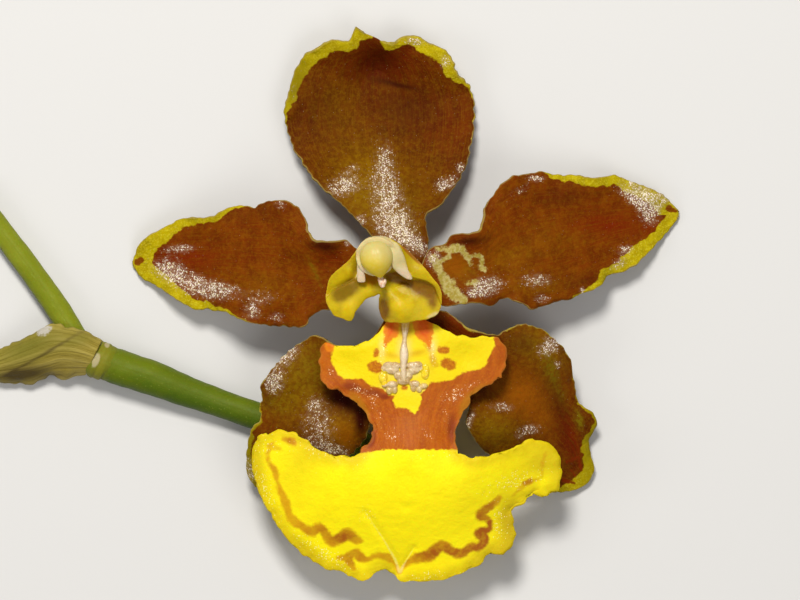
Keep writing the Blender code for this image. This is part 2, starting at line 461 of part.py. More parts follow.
def tube_solid(name, stations, sides, material, rib_count=0, rib_depth=0.0, rows=None):
    """A round stem through stations of x, y, z and radius, with flat cut ends."""
    path = smooth_through(stations, rows or 2 * len(stations) - 1)
    centres, radii = path[:, :3], path[:, 3]
    points = []
    for k, centre in enumerate(centres):
        ahead = centres[min(k + 1, len(centres) - 1)] - centres[max(k - 1, 0)]
        ahead = ahead / np.linalg.norm(ahead)
        guide = np.array([0, 0, 1.0]) if abs(ahead[2]) < 0.8 else np.array([0, 1.0, 0])
        side = np.cross(ahead, guide)
        side /= np.linalg.norm(side)
        up = np.cross(side, ahead)
        for s in range(sides):
            angle = 2 * math.pi * s / sides
            radius = radii[k] * (1 + rib_depth * math.cos(rib_count * angle))
            points.append(centre + radius * (math.cos(angle) * up + math.sin(angle) * side))
    faces = [tuple(range(sides)), tuple((len(centres) - 1) * sides + s for s in range(sides))[::-1]]
    for k in range(len(centres) - 1):
        for s in range(sides):
            a, b = k * sides + s, k * sides + (s + 1) % sides
            faces.append((a, a + sides, b + sides, b))
    if signed_volume(points, faces) < 0:
        faces = [face[::-1] for face in faces]
    return new_object(name, points, faces, material)


def ball_solid(name, centre, sizes, material, rings=8, sides=12):
    """An egg-shaped solid with half sizes along x, y and z."""
    cx, cy, cz = centre
    sx, sy, sz = sizes
    points = [(cx, cy, cz + sz)]
    for ring in range(1, rings):
        tilt = math.pi * ring / rings
        for s in range(sides):
            turn = 2 * math.pi * s / sides
            points.append((cx + sx * math.sin(tilt) * math.cos(turn),
                           cy + sy * math.sin(tilt) * math.sin(turn),
                           cz + sz * math.cos(tilt)))
    points.append((cx, cy, cz - sz))
    last = len(points) - 1
    faces = []
    for s in range(sides):
        t = (s + 1) % sides
        faces.append((0, 1 + s, 1 + t))
        for ring in range(rings - 2):
            a = 1 + ring * sides
            faces.append((a + s, a + sides + s, a + sides + t, a + t))
        a = 1 + (rings - 2) * sides
        faces.append((a + s, last, a + t))
    return new_object(name, points, faces, material)


def combine(target, others, operation):
    """Joins the others to the target, or cuts them from it, and removes them."""
    for other in others:
        modifier = target.modifiers.new(operation.lower(), "BOOLEAN")
        modifier.object = other
        modifier.operation = operation
        modifier.solver = "EXACT"
        graph = bpy.context.evaluated_depsgraph_get()
        result = bpy.data.meshes.new_from_object(target.evaluated_get(graph))
        target.modifiers.clear()
        target.data = result
        bpy.data.objects.remove(other, do_unlink=True)
    return target


def make_blade(name, ribs, wave, swells, material, rows=BLADE_ROWS, columns=BLADE_COLUMNS):
    grid = blade_grid(ribs, rows, columns)
    wave_margins(grid, wave)
    swell(grid, swells)
    return sheet_solid(name, grid, BLADE, material)


def make_lip(material):
    lip = make_blade("lip", LIP, LIP_WAVE, LIP_SWELLS, material, LIP_ROWS, LIP_COLUMNS)
    warts = [ball_solid("wart", wart[:3], wart[3:], material) for wart in CALLUS]
    return combine(lip, warts, "UNION")


def half_space(name, centre, normal, start, size, material):
    """A block whose flat side stands across the normal, start mm past the centre."""
    normal = np.array(normal) / np.linalg.norm(normal)
    side = np.cross(normal, (1.0, 0, 0))
    side /= np.linalg.norm(side)
    other = np.cross(normal, side)
    middle = np.array(centre) + normal * start
    points = []
    for depth in (0, 2 * size):
        for a, b in ((-1, -1), (1, -1), (1, 1), (-1, 1)):
            points.append(middle + normal * depth + side * a * size + other * b * size)
    faces = [(0, 1, 2, 3), (7, 6, 5, 4), (0, 4, 5, 1), (1, 5, 6, 2), (2, 6, 7, 3), (3, 7, 4, 0)]
    if signed_volume(points, faces) < 0:
        faces = [face[::-1] for face in faces]
    return new_object(name, points, faces, material, smooth=False)


def make_column(material):
    face = blade_grid(COLUMN_FACE, 30, 13)
    swell(face, [COLUMN_BULGE])
    column = sheet_solid("column", face, COLUMN_FACE_THICKNESS, material)
    trunk = tube_solid("trunk", TRUNK, 14, material)
    hood = ball_solid("hood", ANTHER_AT, [HOOD_OUTER] * 3, material, 12, 20)
    inside = ball_solid("inside", ANTHER_AT, [HOOD_INNER] * 3, material, 12, 20)
    front = half_space("front", ANTHER_AT, HOOD_OPENING, HOOD_REACH, 4.0, material)
    combine(hood, [front], "DIFFERENCE")
    arms = [tube_solid("arm", arm, 8, material) for arm in CREAM_ARMS]
    combine(column, [trunk, hood] + arms, "UNION")
    return combine(column, [inside], "DIFFERENCE")


def make_anther_cap(material):
    x, y, z = ANTHER_AT
    cap = ball_solid("anther_cap", ANTHER_AT, [ANTHER_RADIUS] * 3, material, 12, 20)
    beak = tube_solid("beak", BEAK, 10, material)
    hollow = ball_solid("hollow", ANTHER_AT, [ANTHER_HOLLOW] * 3, material, 8, 12)
    mouth = tube_solid("mouth", [(x, y - 0.2, z, 0.6), (x + 0.2, y - 1.2, z - 1.4, 0.6)], 10, material, rows=2)
    combine(cap, [beak], "UNION")
    return combine(cap, [hollow, mouth], "DIFFERENCE")


def make_pollinarium(material):
    x, y, z = ANTHER_AT
    masses = [ball_solid("mass", (x + side * 0.27, y, z), (0.3, 0.38, 0.3), material, 6, 8) for side in (-1, 1)]
    strap = tube_solid("pollinarium", [
        (x, y - 0.1, z - 0.05, 0.16),
        (x + 0.1, y - 0.75, z - 0.75, 0.16),
        (x + 0.3, y - 1.6, z - 1.0, 0.17),
        (x + 0.6, y - 2.45, z - 1.0, 0.24),
    ], 8, material)
    return combine(strap, masses, "UNION")


def main():
    clear_scene()
    brown = make_material("sepal_brown", (0.36, 0.13, 0.02), 0.55)
    chestnut = make_material("petal_chestnut", (0.40, 0.12, 0.02), 0.55)
    yellow = make_material("lip_yellow", (0.85, 0.68, 0.02), 0.5)
    cream = make_material("column_yellow", (0.85, 0.75, 0.25), 0.45)
    cap_yellow = make_material("cap_yellow", (0.88, 0.80, 0.25), 0.4)
    pink = make_material("pollen_cream", (0.80, 0.60, 0.42), 0.5)
    green = make_material("stalk_green", (0.32, 0.46, 0.05), 0.45)
    pale_green = make_material("ovary_green", (0.45, 0.52, 0.12), 0.5)
    straw = make_material("bract_straw", (0.50, 0.42, 0.12), 0.7)

    tube_solid("flower_stalk", STALK, STALK_ROUND, green, rows=36)
    make_blade("stem_bract", BRACT, (0.12, 3.0, 0.0), [], straw, 14, 9)
    make_blade("floral_bract", FLORAL_BRACT, (0.0, 1.0, 0.0), [], straw, 7, 5)
    tube_solid("pedicel", PEDICEL, 24, pale_green, OVARY_RIBS, OVARY_RIB_DEPTH, rows=18)
    make_blade("dorsal_sepal", DORSAL, DORSAL_WAVE, DORSAL_SWELLS, brown)
    make_blade("petal_left", PETAL_LEFT, PETAL_WAVE, PETAL_LEFT_SWELLS, chestnut)
    make_blade("petal_right", PETAL_RIGHT, PETAL_WAVE, PETAL_RIGHT_SWELLS, chestnut)
    make_blade("lateral_sepal_left", LATERAL_LEFT, LATERAL_WAVE, LATERAL_LEFT_SWELLS, brown)
    make_blade("lateral_sepal_right", LATERAL_RIGHT, LATERAL_WAVE, LATERAL_RIGHT_SWELLS, brown)
    make_lip(yellow)
    make_column(cream)
    make_anther_cap(cap_yellow)
    make_pollinarium(pink)


main()
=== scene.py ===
"""Looks of the open oncidium flower on its cut stalk, seen from straight above."""
import math

import bpy
import numpy as np
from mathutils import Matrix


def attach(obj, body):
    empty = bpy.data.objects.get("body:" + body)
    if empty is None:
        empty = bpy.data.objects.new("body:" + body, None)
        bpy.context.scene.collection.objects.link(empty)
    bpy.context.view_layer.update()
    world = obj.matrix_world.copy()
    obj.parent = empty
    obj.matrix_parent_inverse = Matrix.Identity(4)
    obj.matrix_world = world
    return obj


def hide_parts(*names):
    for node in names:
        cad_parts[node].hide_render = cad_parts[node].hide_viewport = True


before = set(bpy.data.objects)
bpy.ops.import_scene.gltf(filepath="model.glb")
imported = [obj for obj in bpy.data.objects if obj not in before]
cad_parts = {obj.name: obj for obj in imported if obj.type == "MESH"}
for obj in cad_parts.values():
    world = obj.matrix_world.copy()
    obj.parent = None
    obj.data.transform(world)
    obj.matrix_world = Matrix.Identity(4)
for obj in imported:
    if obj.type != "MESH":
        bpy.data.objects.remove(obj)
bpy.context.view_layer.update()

# Sizes in mm. Every x and y is counted from the heart of the flower.
MM = 0.001
HEART = (7.5, 1.35)          # the heart's place from the model's origin
MIDDLE_HALF = 0.24           # half the thickness of a blade in its middle
MARGIN_HALF = 0.09           # half its thickness at the margin
REST_LEVEL = 0.3             # lowest height of a blade's middle surface

# Dorsal sepal, from its claw behind the hood up to its tip. It leans back until its
# broad middle rests on the surface, and its tip hooks forward.
DORSAL = [
    ((-1.1, 1.6, 8.0), (0.2, 1.5, 8.1), (1.5, 1.6, 8.0)),
    ((-2.0, 3.1, 7.7), (0.1, 3.0, 7.9), (2.1, 3.0, 7.7)),
    ((-2.9, 4.9, 6.9), (-0.2, 4.6, 7.1), (2.3, 4.4, 7.0)),
    ((-4.2, 6.3, 6.1), (-0.8, 6.0, 6.2), (2.1, 5.8, 6.2)),
    ((-5.4, 7.7, 5.3), (-1.3, 7.3, 5.2), (2.2, 7.0, 5.4)),
    ((-6.5, 8.5, 4.7), (-1.6, 8.3, 4.4), (3.4, 7.7, 4.9)),
    ((-7.7, 9.6, 4.0), (-1.7, 9.5, 3.4), (4.6, 9.3, 4.1)),
    ((-8.6, 10.8, 3.4), (-1.8, 10.7, 2.6), (5.5, 10.7, 3.4)),
    ((-9.5, 12.0, 2.9), (-1.9, 12.1, 1.8), (6.0, 12.2, 2.8)),
    ((-10.2, 13.5, 2.4), (-2.0, 13.6, 1.1), (6.3, 13.7, 2.2)),
    ((-10.7, 15.1, 2.0), (-2.1, 15.2, 0.6), (6.5, 15.2, 1.8)),
    ((-10.8, 16.5, 1.9), (-2.2, 16.6, 0.1), (6.5, 16.5, 1.6)),
    ((-10.5, 17.9, 1.9), (-2.2, 17.9, 0.0), (6.4, 17.9, 1.7)),
    ((-10.1, 19.3, 2.1), (-2.2, 19.1, 0.2), (5.8, 19.0, 1.9)),
    ((-9.6, 20.6, 2.3), (-2.2, 20.0, 0.5), (4.9, 19.8, 2.1)),
    ((-8.9, 21.5, 2.4), (-2.2, 20.7, 0.9), (4.5, 21.1, 2.5)),
    ((-7.7, 22.2, 2.6), (-2.3, 21.3, 1.3), (3.7, 22.0, 2.7)),
    ((-6.6, 22.8, 2.8), (-2.5, 21.7, 1.7), (2.5, 22.5, 2.8)),
    ((-5.5, 22.7, 2.9), (-2.6, 22.0, 2.1), (1.2, 23.2, 2.9)),
    ((-4.9, 22.8, 2.9), (-2.7, 22.2, 2.4), (0.0, 23.1, 2.9)),
    ((-4.6, 23.4, 3.0), (-3.3, 22.7, 2.7), (-1.2, 22.5, 2.8)),
    ((-4.3, 24.0, 3.2), (-4.0, 23.8, 3.1), (-3.5, 23.4, 3.0)),
]

# Petals, from the heart out to the tip. The left edge of a rib is the upper margin.
PETAL_LEFT = [
    ((-1.5, 1.8, 9.0), (-1.5, 0.8, 9.0), (-1.5, -0.3, 9.0)),
    ((-2.9, 2.9, 9.1), (-2.9, 1.2, 8.9), (-2.9, -0.5, 8.9)),
    ((-4.3, 3.8, 9.2), (-4.3, 1.4, 8.8), (-4.2, -0.9, 8.8)),
    ((-5.2, 4.5, 9.3), (-5.3, 1.5, 8.6), (-5.5, -1.5, 8.7)),
    ((-6.6, 4.4, 9.4), (-6.6, 1.3, 8.2), (-6.7, -1.8, 8.4)),
    ((-7.9, 4.5, 9.2), (-7.7, 1.3, 7.8), (-7.6, -1.9, 8.0)),
    ((-8.6, 5.3, 8.8), (-8.5, 1.4, 7.5), (-8.4, -2.5, 7.6)),
    ((-8.8, 6.3, 8.3), (-8.8, 1.6, 7.4), (-8.8, -3.2, 7.3)),
    ((-9.4, 7.4, 7.7), (-9.5, 2.0, 7.1), (-9.6, -3.4, 6.9)),
    ((-10.7, 8.1, 6.9), (-10.8, 2.4, 6.6), (-10.9, -3.3, 6.3)),
    ((-12.1, 8.1, 6.2), (-12.2, 2.4, 6.0), (-12.3, -3.2, 5.7)),
    ((-13.5, 7.6, 5.6), (-13.6, 2.3, 5.3), (-13.7, -3.0, 5.1)),
    ((-14.9, 7.7, 5.0), (-15.0, 2.5, 4.6), (-15.0, -2.6, 4.5)),
    ((-16.3, 7.3, 4.4), (-16.3, 2.6, 3.9), (-16.3, -2.0, 4.0)),
    ((-17.4, 6.7, 3.9), (-17.4, 2.4, 3.4), (-17.5, -1.8, 3.5)),
    ((-18.7, 6.6, 3.4), (-18.8, 2.4, 2.7), (-18.8, -1.8, 3.0)),
    ((-20.2, 6.5, 2.8), (-20.2, 2.6, 2.0), (-20.1, -1.2, 2.4)),
    ((-21.6, 5.8, 2.1), (-21.5, 2.7, 1.4), (-21.4, -0.4, 1.8)),
    ((-23.0, 5.1, 1.5), (-22.9, 2.7, 0.9), (-22.6, 0.4, 1.2)),
    ((-24.1, 4.2, 0.9), (-24.0, 2.6, 0.5), (-23.7, 1.0, 0.8)),
    ((-24.5, 3.2, 0.5), (-24.5, 2.4, 0.3), (-24.3, 1.6, 0.4)),
    ((-24.75, 2.6, 0.3), (-24.75, 2.45, 0.25), (-24.7, 2.3, 0.3)),
]
PETAL_RIGHT = [
    ((1.5, 1.8, 9.0), (1.5, 0.7, 9.0), (1.5, -0.4, 9.0)),
    ((2.4, 3.7, 9.1), (2.6, 1.4, 8.9), (2.8, -1.0, 8.9)),
    ((3.8, 4.2, 9.2), (3.9, 1.4, 8.7), (3.9, -1.5, 8.8)),
    ((4.5, 5.0, 9.3), (4.9, 1.8, 8.6), (5.3, -1.3, 8.7)),
    ((6.1, 5.1, 9.2), (6.4, 2.0, 8.2), (6.8, -1.2, 8.3)),
    ((7.0, 5.5, 8.9), (7.5, 2.1, 7.8), (8.1, -1.4, 7.8)),
    ((7.3, 6.6, 8.5), (8.0, 2.9, 7.6), (8.8, -0.9, 7.4)),
    ((7.4, 7.6, 8.2), (8.4, 3.4, 7.4), (9.6, -0.8, 7.0)),
    ((8.2, 8.6, 7.6), (9.3, 3.8, 7.0), (10.6, -1.2, 6.6)),
    ((8.8, 9.5, 7.1), (10.2, 4.0, 6.6), (11.7, -1.7, 6.0)),
    ((9.9, 10.2, 6.5), (11.3, 4.4, 6.1), (12.9, -1.4, 5.5)),
    ((11.1, 10.5, 5.9), (12.7, 4.7, 5.5), (14.3, -1.0, 4.9)),
    ((12.4, 10.7, 5.4), (14.1, 5.0, 4.8), (15.8, -0.6, 4.4)),
    ((14.0, 10.5, 4.8), (15.5, 5.2, 4.1), (17.0, -0.1, 3.9)),
    ((15.7, 10.5, 4.3), (16.9, 5.5, 3.5), (18.1, 0.4, 3.5)),
    ((16.8, 10.2, 3.8), (17.7, 5.8, 3.1), (18.6, 1.3, 3.2)),
    ((18.1, 10.3, 3.3), (18.9, 5.9, 2.5), (19.7, 1.5, 2.8)),
    ((19.3, 10.5, 2.8), (20.0, 6.2, 2.0), (20.7, 2.0, 2.4)),
    ((20.9, 9.9, 2.2), (21.3, 6.3, 1.4), (21.7, 2.7, 1.9)),
    ((22.3, 9.4, 1.6), (22.6, 6.6, 0.9), (22.7, 3.7, 1.4)),
    ((23.6, 8.8, 1.1), (23.7, 6.8, 0.5), (23.6, 4.7, 0.9)),
    ((24.5, 8.0, 0.6), (24.5, 6.8, 0.3), (24.4, 5.6, 0.6)),
    ((25.1, 7.4, 0.4), (25.1, 6.9, 0.25), (25.0, 6.3, 0.4)),
    ((25.2, 7.2, 0.35), (25.25, 6.95, 0.25), (25.15, 6.7, 0.35)),
]

# Lower sepals. The left edge of a rib is the outer margin of each.
LATERAL_LEFT = [
    ((-1.3, -1.7, 8.1), (-0.8, -1.9, 8.1), (-0.3, -2.1, 8.1)),
    ((-2.0, -3.3, 8.1), (-1.5, -3.6, 8.1), (-0.9, -3.8, 8.1)),
    ((-3.2, -4.7, 8.0), (-2.3, -5.1, 7.9), (-1.4, -5.4, 7.9)),
    ((-4.8, -5.2, 7.8), (-3.3, -6.0, 7.7), (-1.9, -6.8, 7.6)),
    ((-6.2, -5.0, 7.5), (-4.2, -6.7, 7.4), (-2.3, -8.2, 7.3)),
    ((-7.8, -4.1, 7.1), (-5.1, -7.0, 7.2), (-2.6, -9.6, 6.9)),
    ((-9.0, -4.6, 6.8), (-5.8, -7.8, 6.9), (-2.7, -11.0, 6.6)),
    ((-10.3, -5.5, 6.3), (-6.5, -8.8, 6.6), (-2.9, -12.1, 6.3)),
    ((-11.3, -6.5, 5.9), (-7.2, -9.9, 6.3), (-3.3, -13.2, 6.0)),
    ((-12.3, -7.7, 5.5), (-8.0, -10.9, 5.9), (-3.9, -14.1, 5.7)),
    ((-12.9, -8.7, 5.1), (-8.8, -11.9, 5.5), (-4.7, -14.9, 5.3)),
    ((-12.8, -9.7, 4.8), (-9.2, -12.8, 5.2), (-5.6, -15.6, 4.9)),
    ((-13.1, -10.8, 4.5), (-9.9, -13.7, 4.9), (-6.7, -16.3, 4.5)),
    ((-13.0, -11.8, 4.3), (-10.4, -14.5, 4.5), (-7.8, -16.9, 4.0)),
    ((-13.8, -12.7, 4.1), (-11.3, -15.2, 4.2), (-8.9, -17.4, 3.6)),
    ((-14.1, -14.0, 3.7), (-12.0, -16.1, 3.7), (-9.9, -17.9, 3.1)),
    ((-14.2, -15.4, 3.2), (-12.5, -17.0, 3.2), (-10.8, -18.3, 2.7)),
    ((-14.2, -16.6, 2.6), (-12.9, -17.7, 2.7), (-11.6, -18.6, 2.3)),
    ((-13.7, -17.6, 2.2), (-13.0, -18.1, 2.2), (-12.2, -18.5, 2.0)),
    ((-13.2, -18.0, 1.9), (-13.0, -18.3, 1.9), (-12.7, -18.4, 1.8)),
]
LATERAL_RIGHT = [
    ((1.3, -1.7, 8.1), (0.8, -1.9, 8.1), (0.3, -2.1, 8.1)),
    ((2.7, -1.9, 8.1), (2.0, -2.8, 8.0), (1.3, -3.6, 8.0)),
    ((3.8, -1.9, 8.2), (3.1, -3.5, 7.8), (2.4, -5.0, 7.9)),
    ((4.9, -2.7, 8.1), (4.2, -4.6, 7.5), (3.6, -6.3, 7.7)),
    ((6.0, -3.5, 7.9), (5.3, -5.6, 7.2), (4.6, -7.5, 7.4)),
    ((7.3, -3.9, 7.6), (6.4, -6.3, 7.0), (5.5, -8.7, 7.1)),
    ((8.4, -4.1, 7.2), (7.3, -7.0, 6.8), (6.1, -9.8, 6.8)),
    ((9.2, -3.7, 6.9), (7.6, -7.4, 6.7), (5.9, -11.1, 6.5)),
    ((10.6, -3.1, 6.3), (8.2, -7.7, 6.4), (5.7, -12.1, 6.2)),
    ((12.0, -3.3, 5.7), (9.1, -8.2, 6.0), (6.1, -12.9, 5.8)),
    ((13.3, -4.1, 5.0), (10.0, -9.0, 5.5), (6.7, -13.8, 5.3)),
    ((14.4, -5.0, 4.4), (10.9, -9.9, 5.0), (7.4, -14.6, 4.8)),
    ((15.2, -6.2, 3.8), (11.7, -10.9, 4.4), (8.3, -15.4, 4.2)),
    ((15.5, -7.7, 3.3), (12.3, -12.0, 3.9), (9.2, -16.1, 3.7)),
    ((15.7, -9.2, 2.9), (12.8, -13.1, 3.4), (10.1, -16.8, 3.1)),
    ((16.2, -10.4, 2.5), (13.6, -13.9, 2.8), (11.0, -17.3, 2.6)),
    ((17.3, -11.2, 2.1), (14.6, -14.5, 2.3), (11.9, -17.8, 2.1)),
    ((17.7, -12.1, 1.7), (15.2, -15.2, 1.9), (12.7, -18.2, 1.7)),
    ((17.3, -13.0, 1.4), (15.4, -15.8, 1.5), (13.4, -18.5, 1.3)),
    ((16.9, -13.9, 1.2), (15.6, -16.3, 1.2), (14.2, -18.5, 1.0)),
    ((17.2, -15.2, 1.0), (16.1, -16.9, 0.9), (14.9, -18.4, 0.8)),
    ((17.5, -16.3, 0.8), (16.7, -17.4, 0.7), (15.7, -18.3, 0.7)),
    ((17.1, -17.3, 0.7), (16.8, -17.7, 0.6), (16.3, -18.0, 0.6)),
]

# Lip, from its foot under the column, out round the side lobes, in along the waist,
# out round the middle lobe and down to the notch at its tip.
LIP = [
    ((-1.2, -1.7, 9.3), (0.1, -1.6, 9.4), (1.4, -1.7, 9.3)),
    ((-1.5, -2.9, 9.3), (0.2, -2.6, 9.5), (2.0, -2.7, 9.3)),
    ((-2.2, -3.8, 9.4), (0.2, -3.5, 9.5), (3.1, -3.2, 9.4)),
    ((-3.1, -4.6, 9.5), (0.2, -4.2, 9.5), (4.2, -3.8, 9.5)),
    ((-4.3, -5.0, 9.5), (0.2, -4.9, 9.5), (5.4, -4.2, 9.5)),
    ((-5.7, -5.1, 9.2), (0.2, -5.5, 9.5), (6.8, -4.3, 9.2)),
    ((-7.0, -4.8, 8.8), (0.2, -6.1, 9.5), (8.0, -4.2, 8.9)),
    ((-7.5, -5.6, 8.6), (0.2, -6.7, 9.4), (8.9, -4.6, 8.7)),
    ((-7.6, -6.7, 8.5), (0.2, -7.3, 9.4), (9.4, -5.6, 8.5)),
    ((-7.4, -8.0, 8.5), (0.2, -8.0, 9.3), (9.2, -7.2, 8.4)),
    ((-6.7, -8.9, 8.5), (0.2, -8.6, 9.2), (8.6, -8.2, 8.4)),
    ((-5.4, -9.4, 8.6), (0.2, -9.3, 9.2), (7.5, -8.7, 8.4)),
    ((-4.4, -10.1, 8.6), (0.2, -10.0, 9.2), (6.5, -9.4, 8.5)),
    ((-3.4, -11.0, 8.6), (0.3, -10.8, 9.2), (5.8, -10.6, 8.5)),
    ((-2.9, -12.0, 8.6), (0.4, -11.9, 9.3), (5.1, -11.8, 8.6)),
    ((-2.7, -12.9, 8.7), (0.5, -13.0, 9.6), (4.7, -13.0, 8.7)),
    ((-3.1, -13.9, 8.9), (0.5, -14.2, 10.0), (4.7, -13.9, 8.9)),
    ((-4.3, -14.9, 9.1), (0.5, -15.3, 9.9), (5.0, -14.7, 9.1)),
    ((-5.7, -15.1, 9.1), (0.5, -16.2, 9.6), (5.9, -15.1, 9.1)),
    ((-7.1, -14.8, 8.9), (0.5, -16.9, 9.3), (7.0, -15.2, 8.9)),
    ((-8.3, -14.0, 8.6), (0.5, -17.5, 9.1), (8.8, -14.7, 8.5)),
    ((-9.4, -13.3, 8.3), (0.5, -18.0, 8.9), (10.2, -14.2, 8.1)),
    ((-10.7, -12.8, 7.9), (0.4, -18.5, 8.7), (11.7, -13.6, 7.7)),
    ((-12.3, -12.9, 7.4), (0.4, -19.0, 8.5), (12.9, -13.8, 7.3)),
    ((-13.3, -13.5, 7.0), (0.3, -19.4, 8.2), (13.9, -14.5, 7.0)),
    ((-13.7, -14.5, 6.7), (0.3, -19.8, 8.0), (14.3, -15.5, 6.7)),
    ((-13.7, -16.0, 6.4), (0.2, -20.2, 7.9), (14.4, -16.8, 6.4)),
    ((-13.3, -17.6, 6.1), (0.1, -20.6, 7.6), (14.2, -18.0, 6.1)),
    ((-12.7, -19.1, 5.9), (0.1, -21.0, 7.4), (13.3, -18.6, 6.0)),
    ((-12.1, -20.3, 5.7), (0.0, -21.4, 7.1), (11.9, -18.6, 5.9)),
    ((-11.1, -21.8, 5.5), (0.0, -21.8, 6.9), (10.8, -19.4, 5.8)),
    ((-9.7, -23.5, 5.3), (-0.1, -22.3, 6.6), (9.9, -20.1, 5.7)),
    ((-8.3, -24.5, 5.2), (-0.1, -22.8, 6.3), (10.2, -21.3, 5.5)),
    ((-7.2, -25.3, 5.1), (-0.1, -23.3, 6.0), (10.2, -22.5, 5.3)),
    ((-5.7, -25.6, 5.0), (-0.2, -23.8, 5.8), (9.4, -24.0, 5.2)),
    ((-4.6, -26.2, 4.9), (-0.2, -24.2, 5.6), (7.9, -24.0, 5.1)),
    ((-3.7, -26.5, 4.9), (-0.2, -24.6, 5.4), (6.8, -25.1, 5.0)),
    ((-2.8, -26.0, 4.9), (-0.2, -25.0, 5.2), (5.0, -25.9, 4.9)),
    ((-2.2, -25.5, 4.9), (-0.2, -25.4, 5.1), (3.4, -26.4, 4.9)),
    ((-1.5, -25.4, 4.9), (-0.2, -25.8, 5.0), (1.9, -26.5, 4.8)),
    ((-0.8, -25.8, 4.8), (-0.2, -26.2, 4.9), (0.7, -26.5, 4.8)),
    ((-0.4, -26.4, 4.8), (-0.25, -26.5, 4.8), (-0.1, -26.5, 4.8)),
]

# Bract, the dry sheath on the joint, from the ring out to its tip.
BRACT = [
    ((-27.5, -4.6, 2.8), (-28.2, -6.0, 3.5), (-29.0, -7.7, 1.9)),
    ((-29.0, -3.8, 3.2), (-29.6, -5.6, 3.9), (-30.3, -7.8, 1.3)),
    ((-30.6, -3.4, 3.1), (-31.0, -5.5, 3.6), (-31.5, -7.6, 1.2)),
    ((-32.1, -3.1, 3.0), (-32.5, -5.8, 3.2), (-32.6, -7.9, 1.0)),
    ((-34.1, -4.2, 2.4), (-34.3, -6.3, 2.8), (-34.2, -8.3, 0.8)),
    ((-35.9, -5.0, 1.9), (-36.1, -6.8, 2.4), (-36.1, -8.5, 0.7)),
    ((-37.4, -5.7, 1.5), (-37.5, -7.1, 2.0), (-37.5, -8.3, 0.7)),
    ((-38.6, -6.4, 1.2), (-38.7, -7.1, 1.6), (-38.7, -7.8, 0.8)),
    ((-39.3, -6.9, 1.2), (-39.4, -7.1, 1.4), (-39.4, -7.3, 1.1)),
]

# Stalk: x, y, height of the centre, radius, from the cut end of the thin length, past
# the ring at the joint, to the cut end hidden under the lip.
STALK = [
    (-39.6, 9.2, 1.05, 1.05),
    (-38.4, 7.6, 1.05, 1.05),
    (-36.6, 5.2, 1.05, 1.05),
    (-34.9, 3.0, 1.07, 1.07),
    (-33.3, 0.8, 1.08, 1.08),
    (-31.9, -1.2, 1.10, 1.10),
    (-30.6, -3.2, 1.15, 1.10),
    (-29.7, -4.8, 1.30, 1.10),
    (-29.0, -5.7, 1.50, 1.15),
    (-28.5, -6.1, 1.65, 1.30),
    (-28.2, -6.25, 1.75, 1.66),
    (-27.7, -6.4, 1.77, 1.74),
    (-27.1, -6.6, 1.74, 1.70),
    (-26.8, -6.75, 1.68, 1.62),
    (-25.5, -7.2, 1.64, 1.62),
    (-23.0, -8.0, 1.58, 1.58),
    (-20.5, -9.0, 1.45, 1.45),
    (-18.5, -9.7, 1.33, 1.33),
    (-16.0, -10.6, 1.27, 1.27),
    (-12.5, -11.8, 1.25, 1.25),
    (-8.0, -13.1, 1.23, 1.23),
    (-3.5, -14.3, 1.21, 1.21),
    (0.8, -15.5, 1.20, 1.20),
    (4.7, -16.7, 1.15, 1.15),
]

# Pedicel and ovary: x, y, height, radius, from the stalk up to the heart.
PEDICEL = [
    (0.8, -15.0, 3.35, 0.70),
    (0.8, -14.2, 3.9, 0.62),
    (0.8, -12.5, 4.7, 0.60),
    (0.7, -10.5, 5.2, 0.66),
    (0.6, -8.5, 5.5, 0.82),
    (0.5, -6.5, 5.7, 0.95),
    (0.4, -4.5, 5.9, 1.00),
    (0.3, -2.8, 6.1, 0.92),
    (0.2, -1.2, 6.5, 0.88),
    (0.1, -0.2, 7.0, 1.00),
    (0.0, 0.0, 7.5, 1.35),
]
OVARY_RIBS = 6
OVARY_RIB_DEPTH = 0.10      # share of the radius

FLORAL_BRACT = [
    ((-0.9, -14.4, 3.1), (0.8, -13.9, 2.75), (2.5, -14.9, 3.0)),
    ((-0.75, -13.4, 3.05), (0.7, -12.9, 2.65), (2.15, -13.8, 2.95)),
    ((-0.25, -12.6, 3.0), (0.6, -12.1, 2.65), (1.45, -12.8, 2.95)),
    ((0.35, -11.7, 2.85), (0.6, -11.5, 2.75), (0.85, -11.8, 2.85)),
]

# Waves of the margins: height in mm, number of waves, where they start (turns).
DORSAL_WAVE = (0.35, 4.0, 0.1)
PETAL_WAVE = (0.45, 4.5, 0.3)
LATERAL_WAVE = (0.35, 3.5, 0.6)
BRACT_WAVE = (0.12, 3.0, 0.0)
NO_WAVE = (0.0, 1.0, 0.0)

# Small unevenness of the margins: reach in and out, lift up and down, spacing, in mm.
TEPAL_FRAY = (0.07, 0.09, 0.9)
BRACT_FRAY = (0.07, 0.05, 1.1)
LIP_COARSE_FRAY = (0.11, 0.05, 1.3)
LIP_FINE_FRAY = (0.045, 0.02, 0.6)

